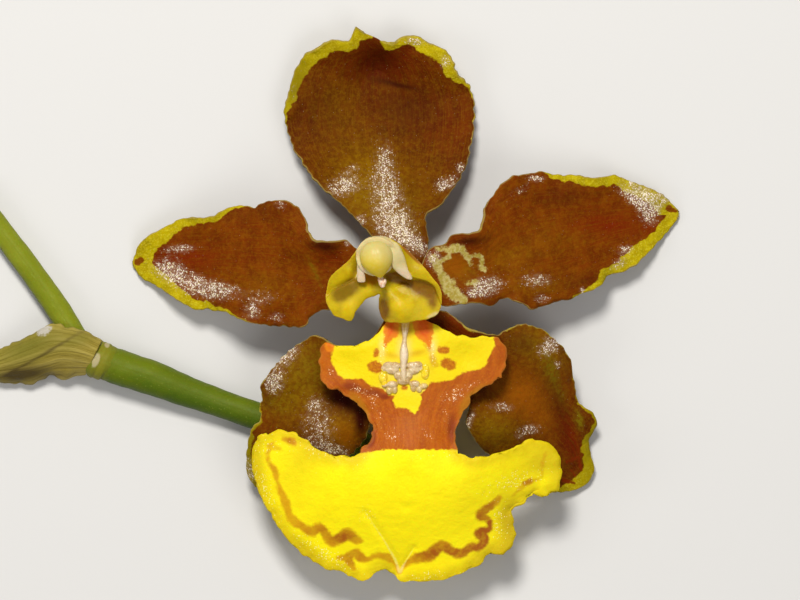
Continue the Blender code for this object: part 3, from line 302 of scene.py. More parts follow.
# Swellings and hollows of the blades: x, y, reach, height, mm.
DORSAL_SWELLS = [(-1.6, 9.0, 2.2, 0.5), (-2.5, 20.6, 2.0, -0.3)]
PETAL_LEFT_SWELLS = [(-14.0, 1.0, 3.0, 0.5), (-21.0, 3.8, 1.6, 0.3), (-7.2, 2.8, 1.2, -0.4)]
PETAL_RIGHT_SWELLS = [(13.0, 3.0, 3.2, 0.5), (21.0, 7.5, 1.8, 0.3), (7.0, 0.2, 1.4, 0.4)]
LATERAL_LEFT_SWELLS = [(-10.8, -7.6, 2.0, 0.6), (-7.0, -12.8, 2.2, 0.7), (-6.2, -9.8, 1.6, -0.6)]
LATERAL_RIGHT_SWELLS = [(12.4, -6.2, 2.2, 0.6), (8.0, -12.2, 2.0, 0.7), (8.0, -9.6, 1.5, -0.6)]
LIP_SWELLS = [
    (-5.0, -6.6, 1.6, -0.5), (5.6, -6.0, 1.6, -0.5), (-0.3, -25.0, 1.5, -0.3),
    (-5.0, -19.5, 4.0, 0.4), (5.0, -18.5, 4.0, 0.4),
]

# Yellow margins: share of the way from foot to tip, width on the rib's left and right.
DORSAL_MARGIN = [
    (0.0, -0.1, -0.1), (0.4, -0.05, -0.05), (0.5, 0.05, 0.0), (0.53, 0.55, 0.05), (0.57, 0.75, 0.1),
    (0.62, 0.85, 0.25), (0.68, 1.15, 0.9), (0.75, 1.05, 1.15), (0.82, 0.9, 1.05), (0.88, 0.75, 0.8),
    (0.93, 0.85, 0.4), (0.96, 1.0, 0.45), (1.0, 1.4, 1.1),
]
PETAL_LEFT_MARGIN = [
    (0.0, -0.1, -0.1), (0.5, -0.1, -0.05), (0.57, 0.2, 0.1), (0.64, 0.45, 0.4), (0.7, 0.45, 0.85),
    (0.76, 0.8, 1.0), (0.83, 1.3, 1.3), (0.9, 1.7, 1.6), (1.0, 1.8, 1.8),
]
PETAL_RIGHT_MARGIN = [
    (0.0, -0.1, -0.1), (0.5, -0.1, -0.05), (0.55, 0.3, 0.25), (0.6, 0.7, 0.55), (0.68, 0.8, 0.8),
    (0.74, 0.85, 1.3), (0.8, 1.1, 1.3), (0.87, 1.4, 0.85), (0.93, 1.7, 1.0), (1.0, 1.7, 1.7),
]
LATERAL_LEFT_MARGIN = [
    (0.0, -0.1, -0.1), (0.4, -0.05, -0.1), (0.62, 0.0, -0.05), (0.72, 0.25, 0.1), (0.85, 0.5, 0.4),
    (1.0, 0.9, 0.9),
]
LATERAL_RIGHT_MARGIN = [
    (0.0, -0.1, -0.1), (0.3, 0.0, -0.1), (0.6, 0.0, 0.0), (0.68, 0.1, 0.1), (0.76, 0.3, 0.15),
    (0.82, 0.35, 0.2), (0.88, 0.8, 0.5), (0.94, 1.0, 0.9), (1.0, 1.1, 1.1),
]

# Sepals and petals: name, ribs, wave, swells, yellow margin, seed of the unevenness.
TEPALS = [
    ("dorsal_sepal", DORSAL, DORSAL_WAVE, DORSAL_SWELLS, DORSAL_MARGIN, 11),
    ("petal_left", PETAL_LEFT, PETAL_WAVE, PETAL_LEFT_SWELLS, PETAL_LEFT_MARGIN, 21),
    ("petal_right", PETAL_RIGHT, PETAL_WAVE, PETAL_RIGHT_SWELLS, PETAL_RIGHT_MARGIN, 41),
    ("lateral_sepal_left", LATERAL_LEFT, LATERAL_WAVE, LATERAL_LEFT_SWELLS, LATERAL_LEFT_MARGIN, 61),
    ("lateral_sepal_right", LATERAL_RIGHT, LATERAL_WAVE, LATERAL_RIGHT_SWELLS, LATERAL_RIGHT_MARGIN, 81),
]
BLADE_ROWS = 170
BLADE_COLUMNS = 66
LIP_ROWS = 270
LIP_COLUMNS = 150

# Soft patches of the sepals' and petals' hues, painted glints and painted shade: x, y, reach along, reach
# across, turn in degrees, strength.
# Painted glints: patches where glints of light are painted into the skin's colour.
PAINTED_GLINTS = {
    "dorsal_sepal": [
        (-1.7, 11.6, 0.9, 2.0, 0, 0.8), (-1.5, 8.6, 1.3, 2.2, 5, 1.2), (-0.8, 5.8, 1.7, 1.6, 20, 1.3),
        (1.0, 4.2, 1.5, 0.7, -35, 1.5), (-5.3, 9.4, 1.4, 0.9, 10, 1.3), (-3.8, 6.3, 0.5, 0.4, 0, 1.2),
        (3.9, 9.6, 1.0, 0.6, 30, 1.3), (5.3, 11.1, 0.35, 0.45, 0, 1.3), (-4.6, 11.0, 0.8, 0.6, 0, 0.5),
        (0.9, 22.75, 0.9, 0.35, -10, 1.0), (3.9, 20.9, 0.5, 0.7, 20, 0.9),
        (-10.0, 18.0, 0.3, 0.9, 0, 0.5),
    ],
    "petal_left": [
        (-21.3, 2.0, 1.3, 1.0, -20, 1.3), (-18.8, 0.5, 2.6, 0.9, -18, 1.4),
        (-16.2, 0.0, 1.5, 0.6, 0, 1.1), (-20.2, 3.8, 1.3, 0.4, 0, 1.0),
        (-13.7, -1.9, 0.9, 0.8, 0, 0.9), (-11.4, -2.5, 0.7, 0.5, 0, 0.8),
        (-11.1, 7.8, 0.5, 0.4, 0, 1.0), (-5.1, 4.2, 0.25, 0.25, 0, 1.5),
        (-12.6, -0.6, 1.5, 0.7, 0, 0.5),
    ],
    "petal_right": [
        (22.4, 7.9, 1.2, 0.8, -30, 1.2), (21.2, 8.3, 1.7, 0.6, -32, 1.4),
        (22.4, 6.9, 0.8, 0.9, 0, 1.3), (7.6, 0.4, 1.3, 0.7, 8, 1.6), (6.6, -0.3, 1.0, 0.4, 0, 1.4),
        (12.0, 0.9, 1.4, 0.7, 0, 0.9), (12.6, -0.8, 0.7, 0.4, 0, 0.9), (12.0, 10.1, 0.8, 0.35, 0, 1.0),
        (10.6, 9.1, 0.9, 0.4, 30, 0.6), (16.3, 0.0, 0.25, 0.3, 0, 1.3), (2.7, 2.9, 0.7, 0.7, -45, 1.6),
        (20.2, 3.7, 0.8, 0.4, 10, 1.0), (21.8, 9.2, 1.8, 0.5, -25, 1.1),
        (19.6, 2.4, 1.0, 0.5, 30, 0.8), (23.8, 8.4, 0.6, 0.5, -30, 0.7),
    ],
    "lateral_sepal_left": [
        (-11.7, -8.3, 0.8, 1.0, 0, 1.6), (-10.4, -5.8, 0.8, 1.5, -35, 1.1),
        (-7.7, -12.3, 1.6, 1.8, 0, 0.75), (-6.6, -14.3, 1.6, 0.5, -15, 1.3),
        (-13.9, -16.3, 0.4, 1.2, 15, 1.2), (-8.0, -10.4, 0.7, 0.8, 0, 0.7),
    ],
    "lateral_sepal_right": [
        (13.6, -4.7, 0.8, 0.8, -40, 1.3), (12.8, -5.5, 0.7, 0.6, 0, 0.9),
        (14.0, -6.7, 0.4, 0.4, 0, 0.9), (8.9, -10.7, 1.0, 0.35, 0, 1.2),
        (6.1, -11.8, 0.3, 0.8, -20, 1.3), (11.5, -12.6, 1.0, 0.5, 0, 1.0),
        (10.6, -13.2, 0.5, 0.4, 0, 0.8),
    ],
}
# Darker patches: partly darker brown skin, partly painted shade in folds at the petals' bases, under the
# dorsal sepal's hooked tip and under the lip's side lobes.
DARK_AND_SHADE = {
    "dorsal_sepal": [
        (-7.4, 16.6, 2.4, 2.6, 0, 0.3), (-2.3, 21.0, 2.6, 1.9, 0, 0.8),
        (-0.4, 18.8, 2.2, 0.28, -12, 0.7), (0.5, 16.6, 3.2, 2.4, 0, 0.5),
    ],
    "petal_left": [(-7.0, 4.1, 1.5, 0.45, -8, 1.0), (-13.0, 7.0, 3.0, 0.8, 0, 0.3)],
    "petal_right": [
        (5.9, 4.5, 1.2, 0.4, 10, 1.0), (14.0, 8.6, 2.6, 1.0, 0, 0.45), (16.5, 0.8, 2.0, 0.8, 10, 0.4),
    ],
    "lateral_sepal_left": [(-5.5, -9.8, 2.2, 1.2, -35, 1.3), (-3.8, -12.2, 0.6, 1.4, 0, 1.1)],
    "lateral_sepal_right": [
        (6.9, -8.8, 0.9, 0.8, 0, 0.8), (3.6, -3.0, 2.0, 0.6, -20, 0.6), (11.0, -4.8, 1.6, 0.9, 0, 0.5),
        (15.0, -13.8, 0.6, 2.2, 20, 0.4), (14.4, -11.2, 0.7, 1.6, 10, 0.35),
        (13.6, -9.2, 1.2, 1.4, 0, 0.3),
    ],
}
RED = {
    "dorsal_sepal": [(-2.0, 21.2, 4.0, 2.2, 0, 0.7), (4.5, 15.0, 2.5, 3.0, 0, 0.25)],
    "petal_left": [
        (-20.0, 3.0, 3.5, 1.0, 0, 0.9), (-6.5, 3.0, 1.6, 0.9, 0, 0.7), (-8.0, 0.5, 1.6, 1.6, 0, 0.3),
    ],
    "petal_right": [
        (18.8, 6.0, 3.8, 1.0, 0, 0.9), (22.5, 5.6, 0.6, 0.9, 0, 0.5), (5.8, 4.0, 1.6, 1.0, 0, 0.4),
    ],
    "lateral_sepal_left": [(-12.5, -12.5, 1.6, 1.2, 0, 0.3)],
    "lateral_sepal_right": [
        (15.2, -13.7, 0.8, 2.4, 20, 1.0), (4.6, -3.4, 2.5, 1.2, -20, 0.8),
        (14.6, -8.5, 0.5, 2.0, 15, 0.5),
    ],
}
OLIVE = {
    "dorsal_sepal": [
        (-3.4, 9.5, 3.4, 3.8, 0, 1.0), (2.2, 9.0, 2.0, 3.0, 0, 0.2), (-6.0, 17.0, 2.0, 3.0, 0, 0.3),
        (-0.5, 5.5, 1.6, 2.0, 0, 0.6),
    ],
    "petal_left": [(-12.6, 0.3, 3.0, 1.2, 0, 0.35), (-8.0, 1.8, 0.5, 1.4, 20, 0.5)],
    "petal_right": [
        (9.5, 3.0, 2.5, 1.2, 0, 0.5), (12.0, 0.5, 3.0, 1.0, 0, 0.5), (13.5, 5.0, 2.5, 1.5, 0, 0.3),
        (4.9, 2.2, 1.0, 1.0, 0, 1.0),
    ],
    "lateral_sepal_left": [(-9.6, -8.8, 2.6, 4.2, -20, 0.8), (-5.6, -12.8, 1.8, 1.8, 0, 1.0)],
    "lateral_sepal_right": [
        (12.4, -5.0, 2.6, 1.8, -30, 0.7), (8.2, -12.8, 2.2, 1.8, 0, 1.0),
        (14.0, -8.0, 0.9, 2.2, 15, 0.6), (10.6, -9.4, 1.6, 1.4, 0, 0.2),
    ],
}
WARM = {
    "petal_left": [(-4.5, 1.6, 1.6, 1.2, 0, 0.3)],
    "petal_right": [(4.8, 2.2, 1.1, 1.1, 0, 1.2), (8.0, 4.6, 1.4, 1.2, 0, 0.4)],
    "lateral_sepal_left": [(-5.2, -13.2, 1.2, 1.2, 0, 0.8)],
    "lateral_sepal_right": [(11.0, -9.4, 2.0, 2.2, 20, 1.1), (12.6, -12.0, 1.2, 1.6, 20, 0.5)],
}
MOSS = {
    "dorsal_sepal": [(0.4, 6.5, 1.4, 2.6, 0, 0.25), (-3.4, 8.0, 1.6, 1.8, 0, 0.2)],
    "petal_left": [(-7.9, 1.6, 0.16, 1.3, 25, 0.9)],
    "petal_right": [(6.0, 1.4, 0.8, 0.8, 0, 0.3)],
    "lateral_sepal_left": [
        (-8.6, -7.4, 2.4, 2.4, 0, 0.5), (-11.4, -10.2, 1.6, 1.2, 0, 0.4),
        (-13.6, -15.4, 0.6, 1.6, 0, 0.5),
    ],
    "lateral_sepal_right": [
        (13.4, -7.2, 0.6, 1.4, 20, 1.1), (14.4, -9.4, 0.4, 1.2, 10, 0.7),
        (16.0, -11.8, 0.4, 0.8, 10, 1.5), (8.2, -12.9, 1.4, 1.2, 0, 0.35),
        (11.4, -5.2, 1.6, 1.0, -30, 0.25),
    ],
}
DULL = {
    "dorsal_sepal": [(-9.8, 19.0, 2.0, 3.4, 0, 0.9), (-6.0, 22.4, 2.0, 0.8, 0, 0.3)],
    "petal_left": [(-19.0, 7.0, 3.0, 1.0, 0, 0.4)],
    "lateral_sepal_left": [(-13.6, -14.5, 1.6, 4.0, 0, 0.9)],
    "lateral_sepal_right": [(17.0, -13.5, 1.4, 4.4, 0, 0.8)],
}

# Painted strokes: runs of x, y, half width.
TONGUE = [[(-2.4, 20.2, 2.2), (-3.0, 21.6, 1.45), (-3.05, 22.2, 0.85), (-3.05, 22.75, 0.2)]]
PALE_VEINS = [
    [
        (2.7, 2.9, 0.36), (3.1, 2.2, 0.36), (3.5, 1.3, 0.4), (3.9, 0.55, 0.46), (4.35, -0.2, 0.55),
        (4.9, -0.65, 0.48), (5.5, -0.9, 0.3),
    ],
    [
        (3.0, 3.8, 0.2), (3.8, 3.7, 0.2), (4.3, 3.5, 0.3), (4.8, 3.85, 0.36), (5.2, 3.8, 0.34),
        (5.55, 3.35, 0.28), (5.9, 2.9, 0.25), (6.05, 2.4, 0.15),
    ],
    [(3.4, 2.6, 0.2), (4.1, 3.1, 0.22)],
    [(5.95, 3.0, 0.12), (6.6, 3.15, 0.17), (7.0, 2.9, 0.18), (7.1, 2.2, 0.24), (7.25, 1.8, 0.26)],
    [(4.5, 0.75, 0.2), (4.6, 0.6, 0.2)],
    [(5.7, 0.5, 0.12), (6.5, 0.6, 0.32)],
    [(4.9, -0.1, 0.2), (5.3, -0.7, 0.3)],
]
TIP_DOTS = {
    "petal_left": [[(-24.2, 2.6, 0.35), (-23.9, 2.75, 0.3)]],
    "petal_right": [[(24.3, 7.5, 0.35), (24.9, 7.3, 0.2)]],
    "lateral_sepal_right": [
        [(14.9, -15.6, 0.15), (15.9, -15.2, 0.12), (16.3, -16.4, 0.1)],
        [(14.6, -17.3, 0.2), (15.6, -17.6, 0.12)],
        [(15.3, -16.4, 0.12), (15.7, -16.9, 0.1)],
    ],
}

# Markings of the lip, with painted glints, painted light and painted shade among them: outlines as x, y, then
# strokes and soft patches as above.
SIDE_LOBE_YELLOW = [
    (-6.2, -3.5), (-3.0, -3.0), (0.0, -1.0), (3.0, -2.5), (8.0, -3.6), (8.35, -5.0), (7.8, -6.0),
    (7.4, -7.0), (6.6, -7.3), (5.4, -7.5), (4.5, -8.1), (3.4, -8.3), (2.5, -8.3), (2.3, -8.7),
    (1.5, -9.5), (0.2, -9.8), (-1.2, -9.5), (-1.9, -8.9), (-3.0, -8.6), (-3.7, -8.0), (-5.3, -8.1),
    (-6.0, -7.6), (-6.5, -6.4),
]
THROAT_PATCH = [
    (-0.6, -9.2), (1.4, -9.2), (1.7, -9.9), (1.4, -10.8), (1.05, -11.3), (0.5, -10.8), (0.1, -10.65),
    (-0.6, -10.7), (-0.85, -10.0),
]
WAIST_BROWN = [
    (-9.5, -1.0), (10.5, -1.0), (10.5, -11.0), (5.7, -11.5), (5.4, -14.55), (2.5, -14.5), (-1.5, -14.5),
    (-3.2, -14.75), (-4.8, -15.0), (-4.8, -14.0), (-4.2, -11.5), (-9.5, -11.0),
]
LOBE_BAND = [
    [
        (-11.7, -13.8, 0.05), (-12.2, -14.6, 0.14), (-12.2, -15.5, 0.1), (-11.6, -16.3, 0.24),
        (-11.35, -17.3, 0.14), (-11.0, -18.4, 0.25), (-10.6, -19.3, 0.36), (-10.35, -20.2, 0.3),
        (-9.9, -20.9, 0.42), (-9.0, -21.5, 0.32), (-8.2, -21.9, 0.42), (-7.5, -21.5, 0.4),
        (-7.0, -22.1, 0.36), (-6.5, -22.8, 0.4), (-5.6, -22.4, 0.5), (-5.0, -22.0, 0.44),
        (-4.4, -22.5, 0.42), (-3.9, -22.7, 0.2),
    ],
    [
        (-5.9, -24.3, 0.12), (-5.0, -24.2, 0.32), (-4.3, -23.7, 0.25), (-3.9, -24.2, 0.42),
        (-3.2, -24.4, 0.2), (-2.5, -24.1, 0.26), (-1.5, -24.2, 0.3), (-0.9, -24.8, 0.15),
        (-0.3, -25.6, 0.2),
    ],
    [(-4.9, -24.6, 0.35), (-4.5, -25.3, 0.12)],
    [
        (-0.1, -25.4, 0.15), (0.6, -24.7, 0.26), (1.4, -24.3, 0.42), (2.4, -24.0, 0.55),
        (3.1, -23.4, 0.48), (3.7, -23.1, 0.4), (4.3, -23.6, 0.4), (5.2, -23.9, 0.4),
        (6.2, -23.3, 0.32), (6.9, -23.3, 0.34), (7.4, -22.6, 0.4), (6.9, -22.0, 0.42),
        (7.8, -21.6, 0.24), (7.7, -20.8, 0.25), (6.9, -20.4, 0.36), (7.5, -19.8, 0.34),
        (8.2, -19.3, 0.28), (8.7, -18.8, 0.22),
    ],
    [(-10.8, -13.5, 0.1), (-10.1, -13.7, 0.3), (-9.8, -14.0, 0.1)],
    [(11.0, -17.45, 0.18), (11.5, -17.3, 0.22)],
]
FAINT_BAND = [
    [(9.9, -18.6, 0.1), (11.0, -17.6, 0.26), (11.8, -17.2, 0.16), (12.6, -17.1, 0.05)],
    [(12.7, -17.0, 0.08), (12.6, -15.8, 0.16), (12.9, -14.8, 0.16)],
    [(-12.1, -14.2, 0.3), (-11.2, -14.4, 0.2)],
]
BASE_STREAKS = [
    [
        (-1.05, -2.9, 0.72), (-1.07, -3.75, 0.7), (-1.3, -4.25, 0.42), (-1.55, -4.75, 0.22),
        (-1.6, -5.2, 0.06),
    ],
    [(1.8, -2.9, 0.95), (1.9, -3.75, 0.88), (2.15, -4.3, 0.52), (2.35, -4.8, 0.26), (2.4, -5.3, 0.08)],
    [(-6.7, -4.8, 0.5), (-6.6, -5.3, 0.35)],
]
LIP_SPOTS = [
    [(-2.4, -5.6, 0.28), (-2.5, -5.9, 0.2)],
    [(-2.6, -6.9, 0.55), (-2.4, -7.0, 0.55)],
    [(3.4, -5.4, 0.3), (3.8, -5.4, 0.32)],
    [(3.8, -6.6, 0.45), (4.25, -6.8, 0.5)],
    [(0.2, -8.85, 0.22), (0.1, -8.85, 0.22)],
]
FAINT_SPOTS = [
    [(2.6, -6.1, 0.25), (2.9, -6.7, 0.3)],
    [(2.1, -5.0, 0.2), (2.4, -5.3, 0.2)],
]
# Painted glints on the lip.
LIP_PAINTED_GLINTS = [
    (-3.8, -9.0, 1.0, 0.5, -20, 1.1), (-2.6, -9.9, 0.5, 1.2, 0, 1.0), (4.6, -9.5, 1.2, 0.7, 20, 1.1),
    (6.2, -8.6, 1.0, 0.35, 15, 0.9), (-6.5, -7.4, 0.4, 0.6, 0, 0.9), (-0.8, -13.3, 0.9, 0.9, 0, 0.8),
    (2.0, -13.3, 0.8, 0.8, 0, 0.7), (3.9, -11.8, 0.5, 1.2, 10, 0.6), (-2.0, -12.0, 0.4, 1.0, 0, 0.6),
]
LIP_THROAT = [
    (0.2, -3.4, 0.75, 1.1, 0, 1.1), (0.2, -2.6, 2.6, 0.7, 0, 0.9), (-1.1, -5.9, 0.8, 0.28, -10, 0.7),
    (1.3, -5.7, 0.9, 0.28, 12, 0.8), (2.6, -6.3, 0.25, 0.9, 0, 0.6), (-1.7, -8.2, 0.6, 0.5, 0, 0.4),
]
LIP_SHADE = [
    (12.8, -15.6, 2.0, 1.6, 0, 0.7), (9.6, -21.2, 1.2, 2.6, 0, 0.9), (7.8, -24.2, 2.0, 1.0, 20, 0.6),
    (-9.4, -15.4, 2.6, 1.8, -20, 0.35), (-13.2, -15.5, 0.8, 2.5, 0, 0.4),
    (-9.0, -23.6, 2.4, 0.9, -40, 0.5),
]
LIP_MILK = [
    (0.1, -5.3, 0.5, 0.9, 0, 0.8), (-1.1, -7.2, 0.8, 0.6, 0, 0.5), (1.0, -7.2, 0.8, 0.6, 0, 0.5),
    (-1.3, -8.9, 0.6, 0.4, 0, 0.5), (1.5, -8.8, 0.7, 0.4, 0, 0.5), (2.7, -5.1, 0.35, 0.9, 0, 0.5),
    (-1.9, -5.3, 0.3, 1.0, 0, 0.4),
]
WAIST_GOLD = [
    (-4.3, -9.9, 0.5, 0.9, 35, 1.0), (-3.5, -11.2, 0.45, 1.0, 15, 1.1),
    (6.6, -9.3, 1.2, 0.45, 42, 1.0), (5.6, -10.7, 0.5, 1.0, -20, 1.1),
    (0.6, -12.0, 1.3, 1.6, 0, 0.3),
]
# Dark patches of the waist: partly its own dark red-brown, partly painted shade along its edges.
WAIST_EMBER_AND_SHADE = [
    (-3.1, -12.9, 0.6, 1.4, 10, 0.8), (-6.7, -4.9, 0.5, 0.4, 0, 1.1), (-1.6, -9.7, 0.5, 0.3, 0, 0.9),
    (-2.6, -9.3, 1.0, 0.4, 0, 0.8), (-3.2, -13.4, 0.7, 0.9, 20, 0.9), (4.4, -12.6, 0.6, 1.7, 0, 0.9),
    (-4.6, -8.8, 1.2, 0.5, -10, 1.0), (3.2, -9.0, 0.8, 0.5, 0, 0.4),
]
BAND_DEEP = [
    (-7.5, -21.8, 2.0, 1.0, 0, 0.5), (-5.4, -22.4, 1.2, 0.7, 0, 0.9), (-4.6, -24.3, 1.4, 0.8, 0, 0.6),
    (3.4, -23.8, 3.4, 1.0, 0, 1.0), (7.4, -21.8, 1.6, 3.4, 0, 1.1), (-11.8, -15.5, 1.0, 1.6, 0, 0.25),
    (-10.2, -13.7, 0.6, 0.5, 0, 0.8), (11.3, -17.4, 0.6, 0.5, 0, 0.8),
]
# Painted glints: fine bright flecks painted near the lip's margins and crest.
LIP_GLINT_FLECKS = [
    (10.2, -17.2, 3.4, 1.0, 12, 0.6), (8.8, -21.0, 1.2, 2.2, 0, 0.6), (-7.6, -14.6, 4.0, 1.0, -12, 0.45),
    (-12.4, -18.2, 0.8, 3.5, 25, 0.6), (-7.0, -24.0, 3.5, 0.8, -30, 0.7), (2.4, -25.9, 3.0, 0.5, 5, 0.6),
    (-3.2, -20.2, 0.9, 1.2, 40, 0.5), (-12.3, -14.3, 1.0, 1.0, 0, 0.5), (-0.8, -8.2, 1.0, 0.6, 0, 0.3),
    (2.6, -5.6, 0.35, 1.3, 8, 0.9), (-1.8, -5.6, 0.35, 1.3, -8, 0.8), (2.4, -15.0, 5.0, 0.5, 0, 0.3),
]
# Painted light: the middle lobe is painted brighter where it slopes away from the key light.
LIP_PAINTED_LIGHT = [(-0.3, -20.8, 6.0, 4.2, 0, 1.3)]
LIP_PAINTED_GLINT_SHARE = 0.75     # how strong all of it is
SIDE_LOBES_FROM = -12.5      # the side lobes' deeper yellow sets in above this y, over 2 mm

# Crease down to the notch at the tip, pressed in by its depth. Its pale line is narrower.
CREASE_DEPTH = 0.16
CREASE_REACH = 0.28
CREASE_LINE_LESS = 0.06
LIP_CREASE = [
    [(-3.4, -20.1, 0.08), (-1.8, -22.5, 0.1), (-0.7, -24.4, 0.14), (-0.3, -25.6, 0.2)],
    [(1.0, -23.4, 0.05), (0.4, -24.4, 0.08), (-0.2, -25.6, 0.2)],
]


def smooth_through(points, count):
    """Reads a smooth curve through the points at count even steps."""
    points = np.asarray(points, dtype=float)
    before = 2 * points[0] - points[1]
    after = 2 * points[-1] - points[-2]
    padded = np.concatenate([before[None], points, after[None]])
    place = np.linspace(0, len(points) - 1, count)
    first = np.minimum(place.astype(int), len(points) - 2)
    u = (place - first).reshape(-1, *[1] * (points.ndim - 1))
    p0, p1, p2, p3 = (padded[first + k] for k in range(4))
    bend = 2 * p0 - 5 * p1 + 4 * p2 - p3
    twist = 3 * p1 - p0 - 3 * p2 + p3
    return 0.5 * (2 * p1 + (p2 - p0) * u + bend * u ** 2 + twist * u ** 3)


def blade_grid(ribs, rows, columns):
    """Spreads the ribs into a grid of points, rows along the blade, columns across it."""
    along = smooth_through(ribs, rows)
    across = np.linspace(-1, 1, columns)
    shares = np.stack([across * (across - 1) / 2, 1 - across ** 2, across * (across + 1) / 2], axis=1)
    return np.einsum("ck,rkd->rcd", shares, along)


def skin_through(x, y, heights):
    """Height at each x, y of the smoothest sheet through points of x, y, z."""
    px, py, pz = np.array(heights).T

    def bend(away):
        return away * np.log(away + 1e-9)

    count = len(px)
    matrix = np.zeros((count + 3, count + 3))
    matrix[:count, :count] = bend((px[:, None] - px) ** 2 + (py[:, None] - py) ** 2) + 0.05 * np.eye(count)
    matrix[:count, count:] = np.stack([np.ones(count), px, py], axis=1)
    matrix[count:, :count] = matrix[:count, count:].T
    pulls = np.linalg.solve(matrix, np.concatenate([pz, np.zeros(3)]))
    height = pulls[count] + pulls[count + 1] * x + pulls[count + 2] * y
    for qx, qy, pull in zip(px, py, pulls):
        height = height + pull * bend((x - qx) ** 2 + (y - qy) ** 2)
    return height


def settle(grid, ribs, rounds=150):
    """Spreads a grid evenly inside its margins without folds, then lays it on a sheet through its ribs."""
    for _ in range(rounds):
        along = (grid[2:, 1:-1, :2] - grid[:-2, 1:-1, :2]) / 2
        across = (grid[1:-1, 2:, :2] - grid[1:-1, :-2, :2]) / 2
        skew = (grid[2:, 2:] - grid[2:, :-2] - grid[:-2, 2:] + grid[:-2, :-2]) / 4
        wide = (across ** 2).sum(axis=2, keepdims=True)
        long = (along ** 2).sum(axis=2, keepdims=True)
        lean = (across * along).sum(axis=2, keepdims=True)
        pulls = wide * (grid[2:, 1:-1] + grid[:-2, 1:-1]) + long * (grid[1:-1, 2:] + grid[1:-1, :-2])
        grid[1:-1, 1:-1] = (pulls - 2 * lean * skew) / (2 * (wide + long) + 1e-9)
    sheet = skin_through(grid[..., 0], grid[..., 1], [point for rib in ribs for point in rib])
    inside = np.clip(12 * (1 - np.abs(shares_of(grid)[1])), 0, 1)
    grid[..., 2] += (sheet - grid[..., 2]) * inside


def wave_margins(grid, wave):
    """Ripples both margins up and down, more towards the edge, calm at both ends."""
    height, count, start = wave
    along, across = shares_of(grid)
    side_start = start + 0.37 * (across > 0)
    calm = np.sin(np.pi * along) ** 0.7
    grid[..., 2] += height * calm * np.abs(across) ** 3 * np.sin(2 * np.pi * (count * along + side_start))


def shares_of(grid):
    """Share of the way along (0 to 1) and across (-1 to 1) of each point of a grid."""
    rows, columns = grid.shape[:2]
    return np.meshgrid(np.linspace(0, 1, rows), np.linspace(-1, 1, columns), indexing="ij")


def swell(grid, swells):
    """Raises or sinks soft round places."""
    for x, y, reach, height in swells:
        distance = (grid[..., 0] - x) ** 2 + (grid[..., 1] - y) ** 2
        grid[..., 2] += height * np.exp(-distance / reach ** 2)


def uneven(place, count, seed):
    """A wandering line of about count bumps between places 0 and 1, from -1 to 1."""
    draw = np.random.default_rng(seed)
    total = np.zeros_like(place)
    for share in (0.35, 0.6, 1.0, 1.7):
        turns = count * share * draw.uniform(0.85, 1.15)
        total += np.sin(2 * np.pi * (turns * place + draw.uniform())) / 2
    return total


def nearest_margin(grid):
    """How far each grid point is from the margin, and the number of its nearest margin point."""
    margin = np.concatenate([grid[:, 0, :2], grid[-1, 1:-1, :2], grid[::-1, -1, :2]])
    flat = grid[..., :2].reshape(-1, 2)
    best = np.empty(len(flat))
    index = np.empty(len(flat), dtype=int)
    for start in range(0, len(flat), 4000):
        away = np.linalg.norm(flat[start:start + 4000, None] - margin[None], axis=2)
        index[start:start + 4000] = away.argmin(axis=1)
        best[start:start + 4000] = away.min(axis=1)
    return best.reshape(grid.shape[:2]), index.reshape(grid.shape[:2])


def wobble(x, y, spacing, seed):
    """A smooth uneven field, mostly from -1 to 1, with bumps about spacing mm apart."""
    draw = np.random.default_rng(seed)
    total = np.zeros_like(x)
    for _ in range(9):
        turn = draw.uniform(0, 2 * np.pi)
        rate = 2 * np.pi * draw.uniform(0.6, 1.5) / spacing
        total += np.sin(rate * (x * np.cos(turn) + y * np.sin(turn)) + draw.uniform(0, 6.28)) / 3
    return total


def fray(grid, reach, lift, spacing, seed):
    """Makes the margins uneven, by reach in and out and lift up and down, in bumps about spacing apart."""
    away = nearest_margin(grid)[0]
    calm = np.sin(np.pi * shares_of(grid)[0]) ** 0.5
    x, y = grid[..., 0].copy(), grid[..., 1].copy()
    pushes = ((reach, 0.5, spacing), (reach, 0.5, spacing), (lift, 0.9, 2 * spacing))
    for axis, (size, depth, apart) in enumerate(pushes):
        grid[..., axis] += size * wobble(x, y, apart, seed + axis) * np.exp(-(away / depth) ** 2) * calm


def grid_normals(grid):
    """Directions straight out of the upper face of a grid."""
    along = np.gradient(grid, axis=0)
    across = np.gradient(grid, axis=1)
    normals = np.cross(across, along)
    normals /= np.linalg.norm(normals, axis=2, keepdims=True) + 1e-9
    return normals * np.where(normals[..., 2:] < 0, -1, 1)


def patch_strength(x, y, patches):
    """Sum of soft patches at each point."""
    total = np.zeros_like(x)
    for px, py, reach_along, reach_across, turn, strength in patches:
        angle = math.radians(turn)
        u = (x - px) * math.cos(angle) + (y - py) * math.sin(angle)
        v = (y - py) * math.cos(angle) - (x - px) * math.sin(angle)
        total += strength * np.exp(-(u / reach_along) ** 2 - (v / reach_across) ** 2)
    return total


def stroke_distance(x, y, strokes):
    """Distance of each point from the edge of the nearest stroke, less than 0 inside it."""
    best = np.full(x.shape, 9.0)
    for stroke in strokes:
        for (ax, ay, aw), (bx, by, bw) in zip(stroke[:-1], stroke[1:]):
            dx, dy = bx - ax, by - ay
            share = np.clip(((x - ax) * dx + (y - ay) * dy) / (dx * dx + dy * dy + 1e-9), 0, 1)
            away = np.hypot(x - ax - share * dx, y - ay - share * dy)
            best = np.minimum(best, away - aw - share * (bw - aw))
    return best


def curved(strokes, steps=4):
    """The same strokes with their corners rounded."""
    return [smooth_through(stroke, (len(stroke) - 1) * steps + 1).tolist() for stroke in strokes]


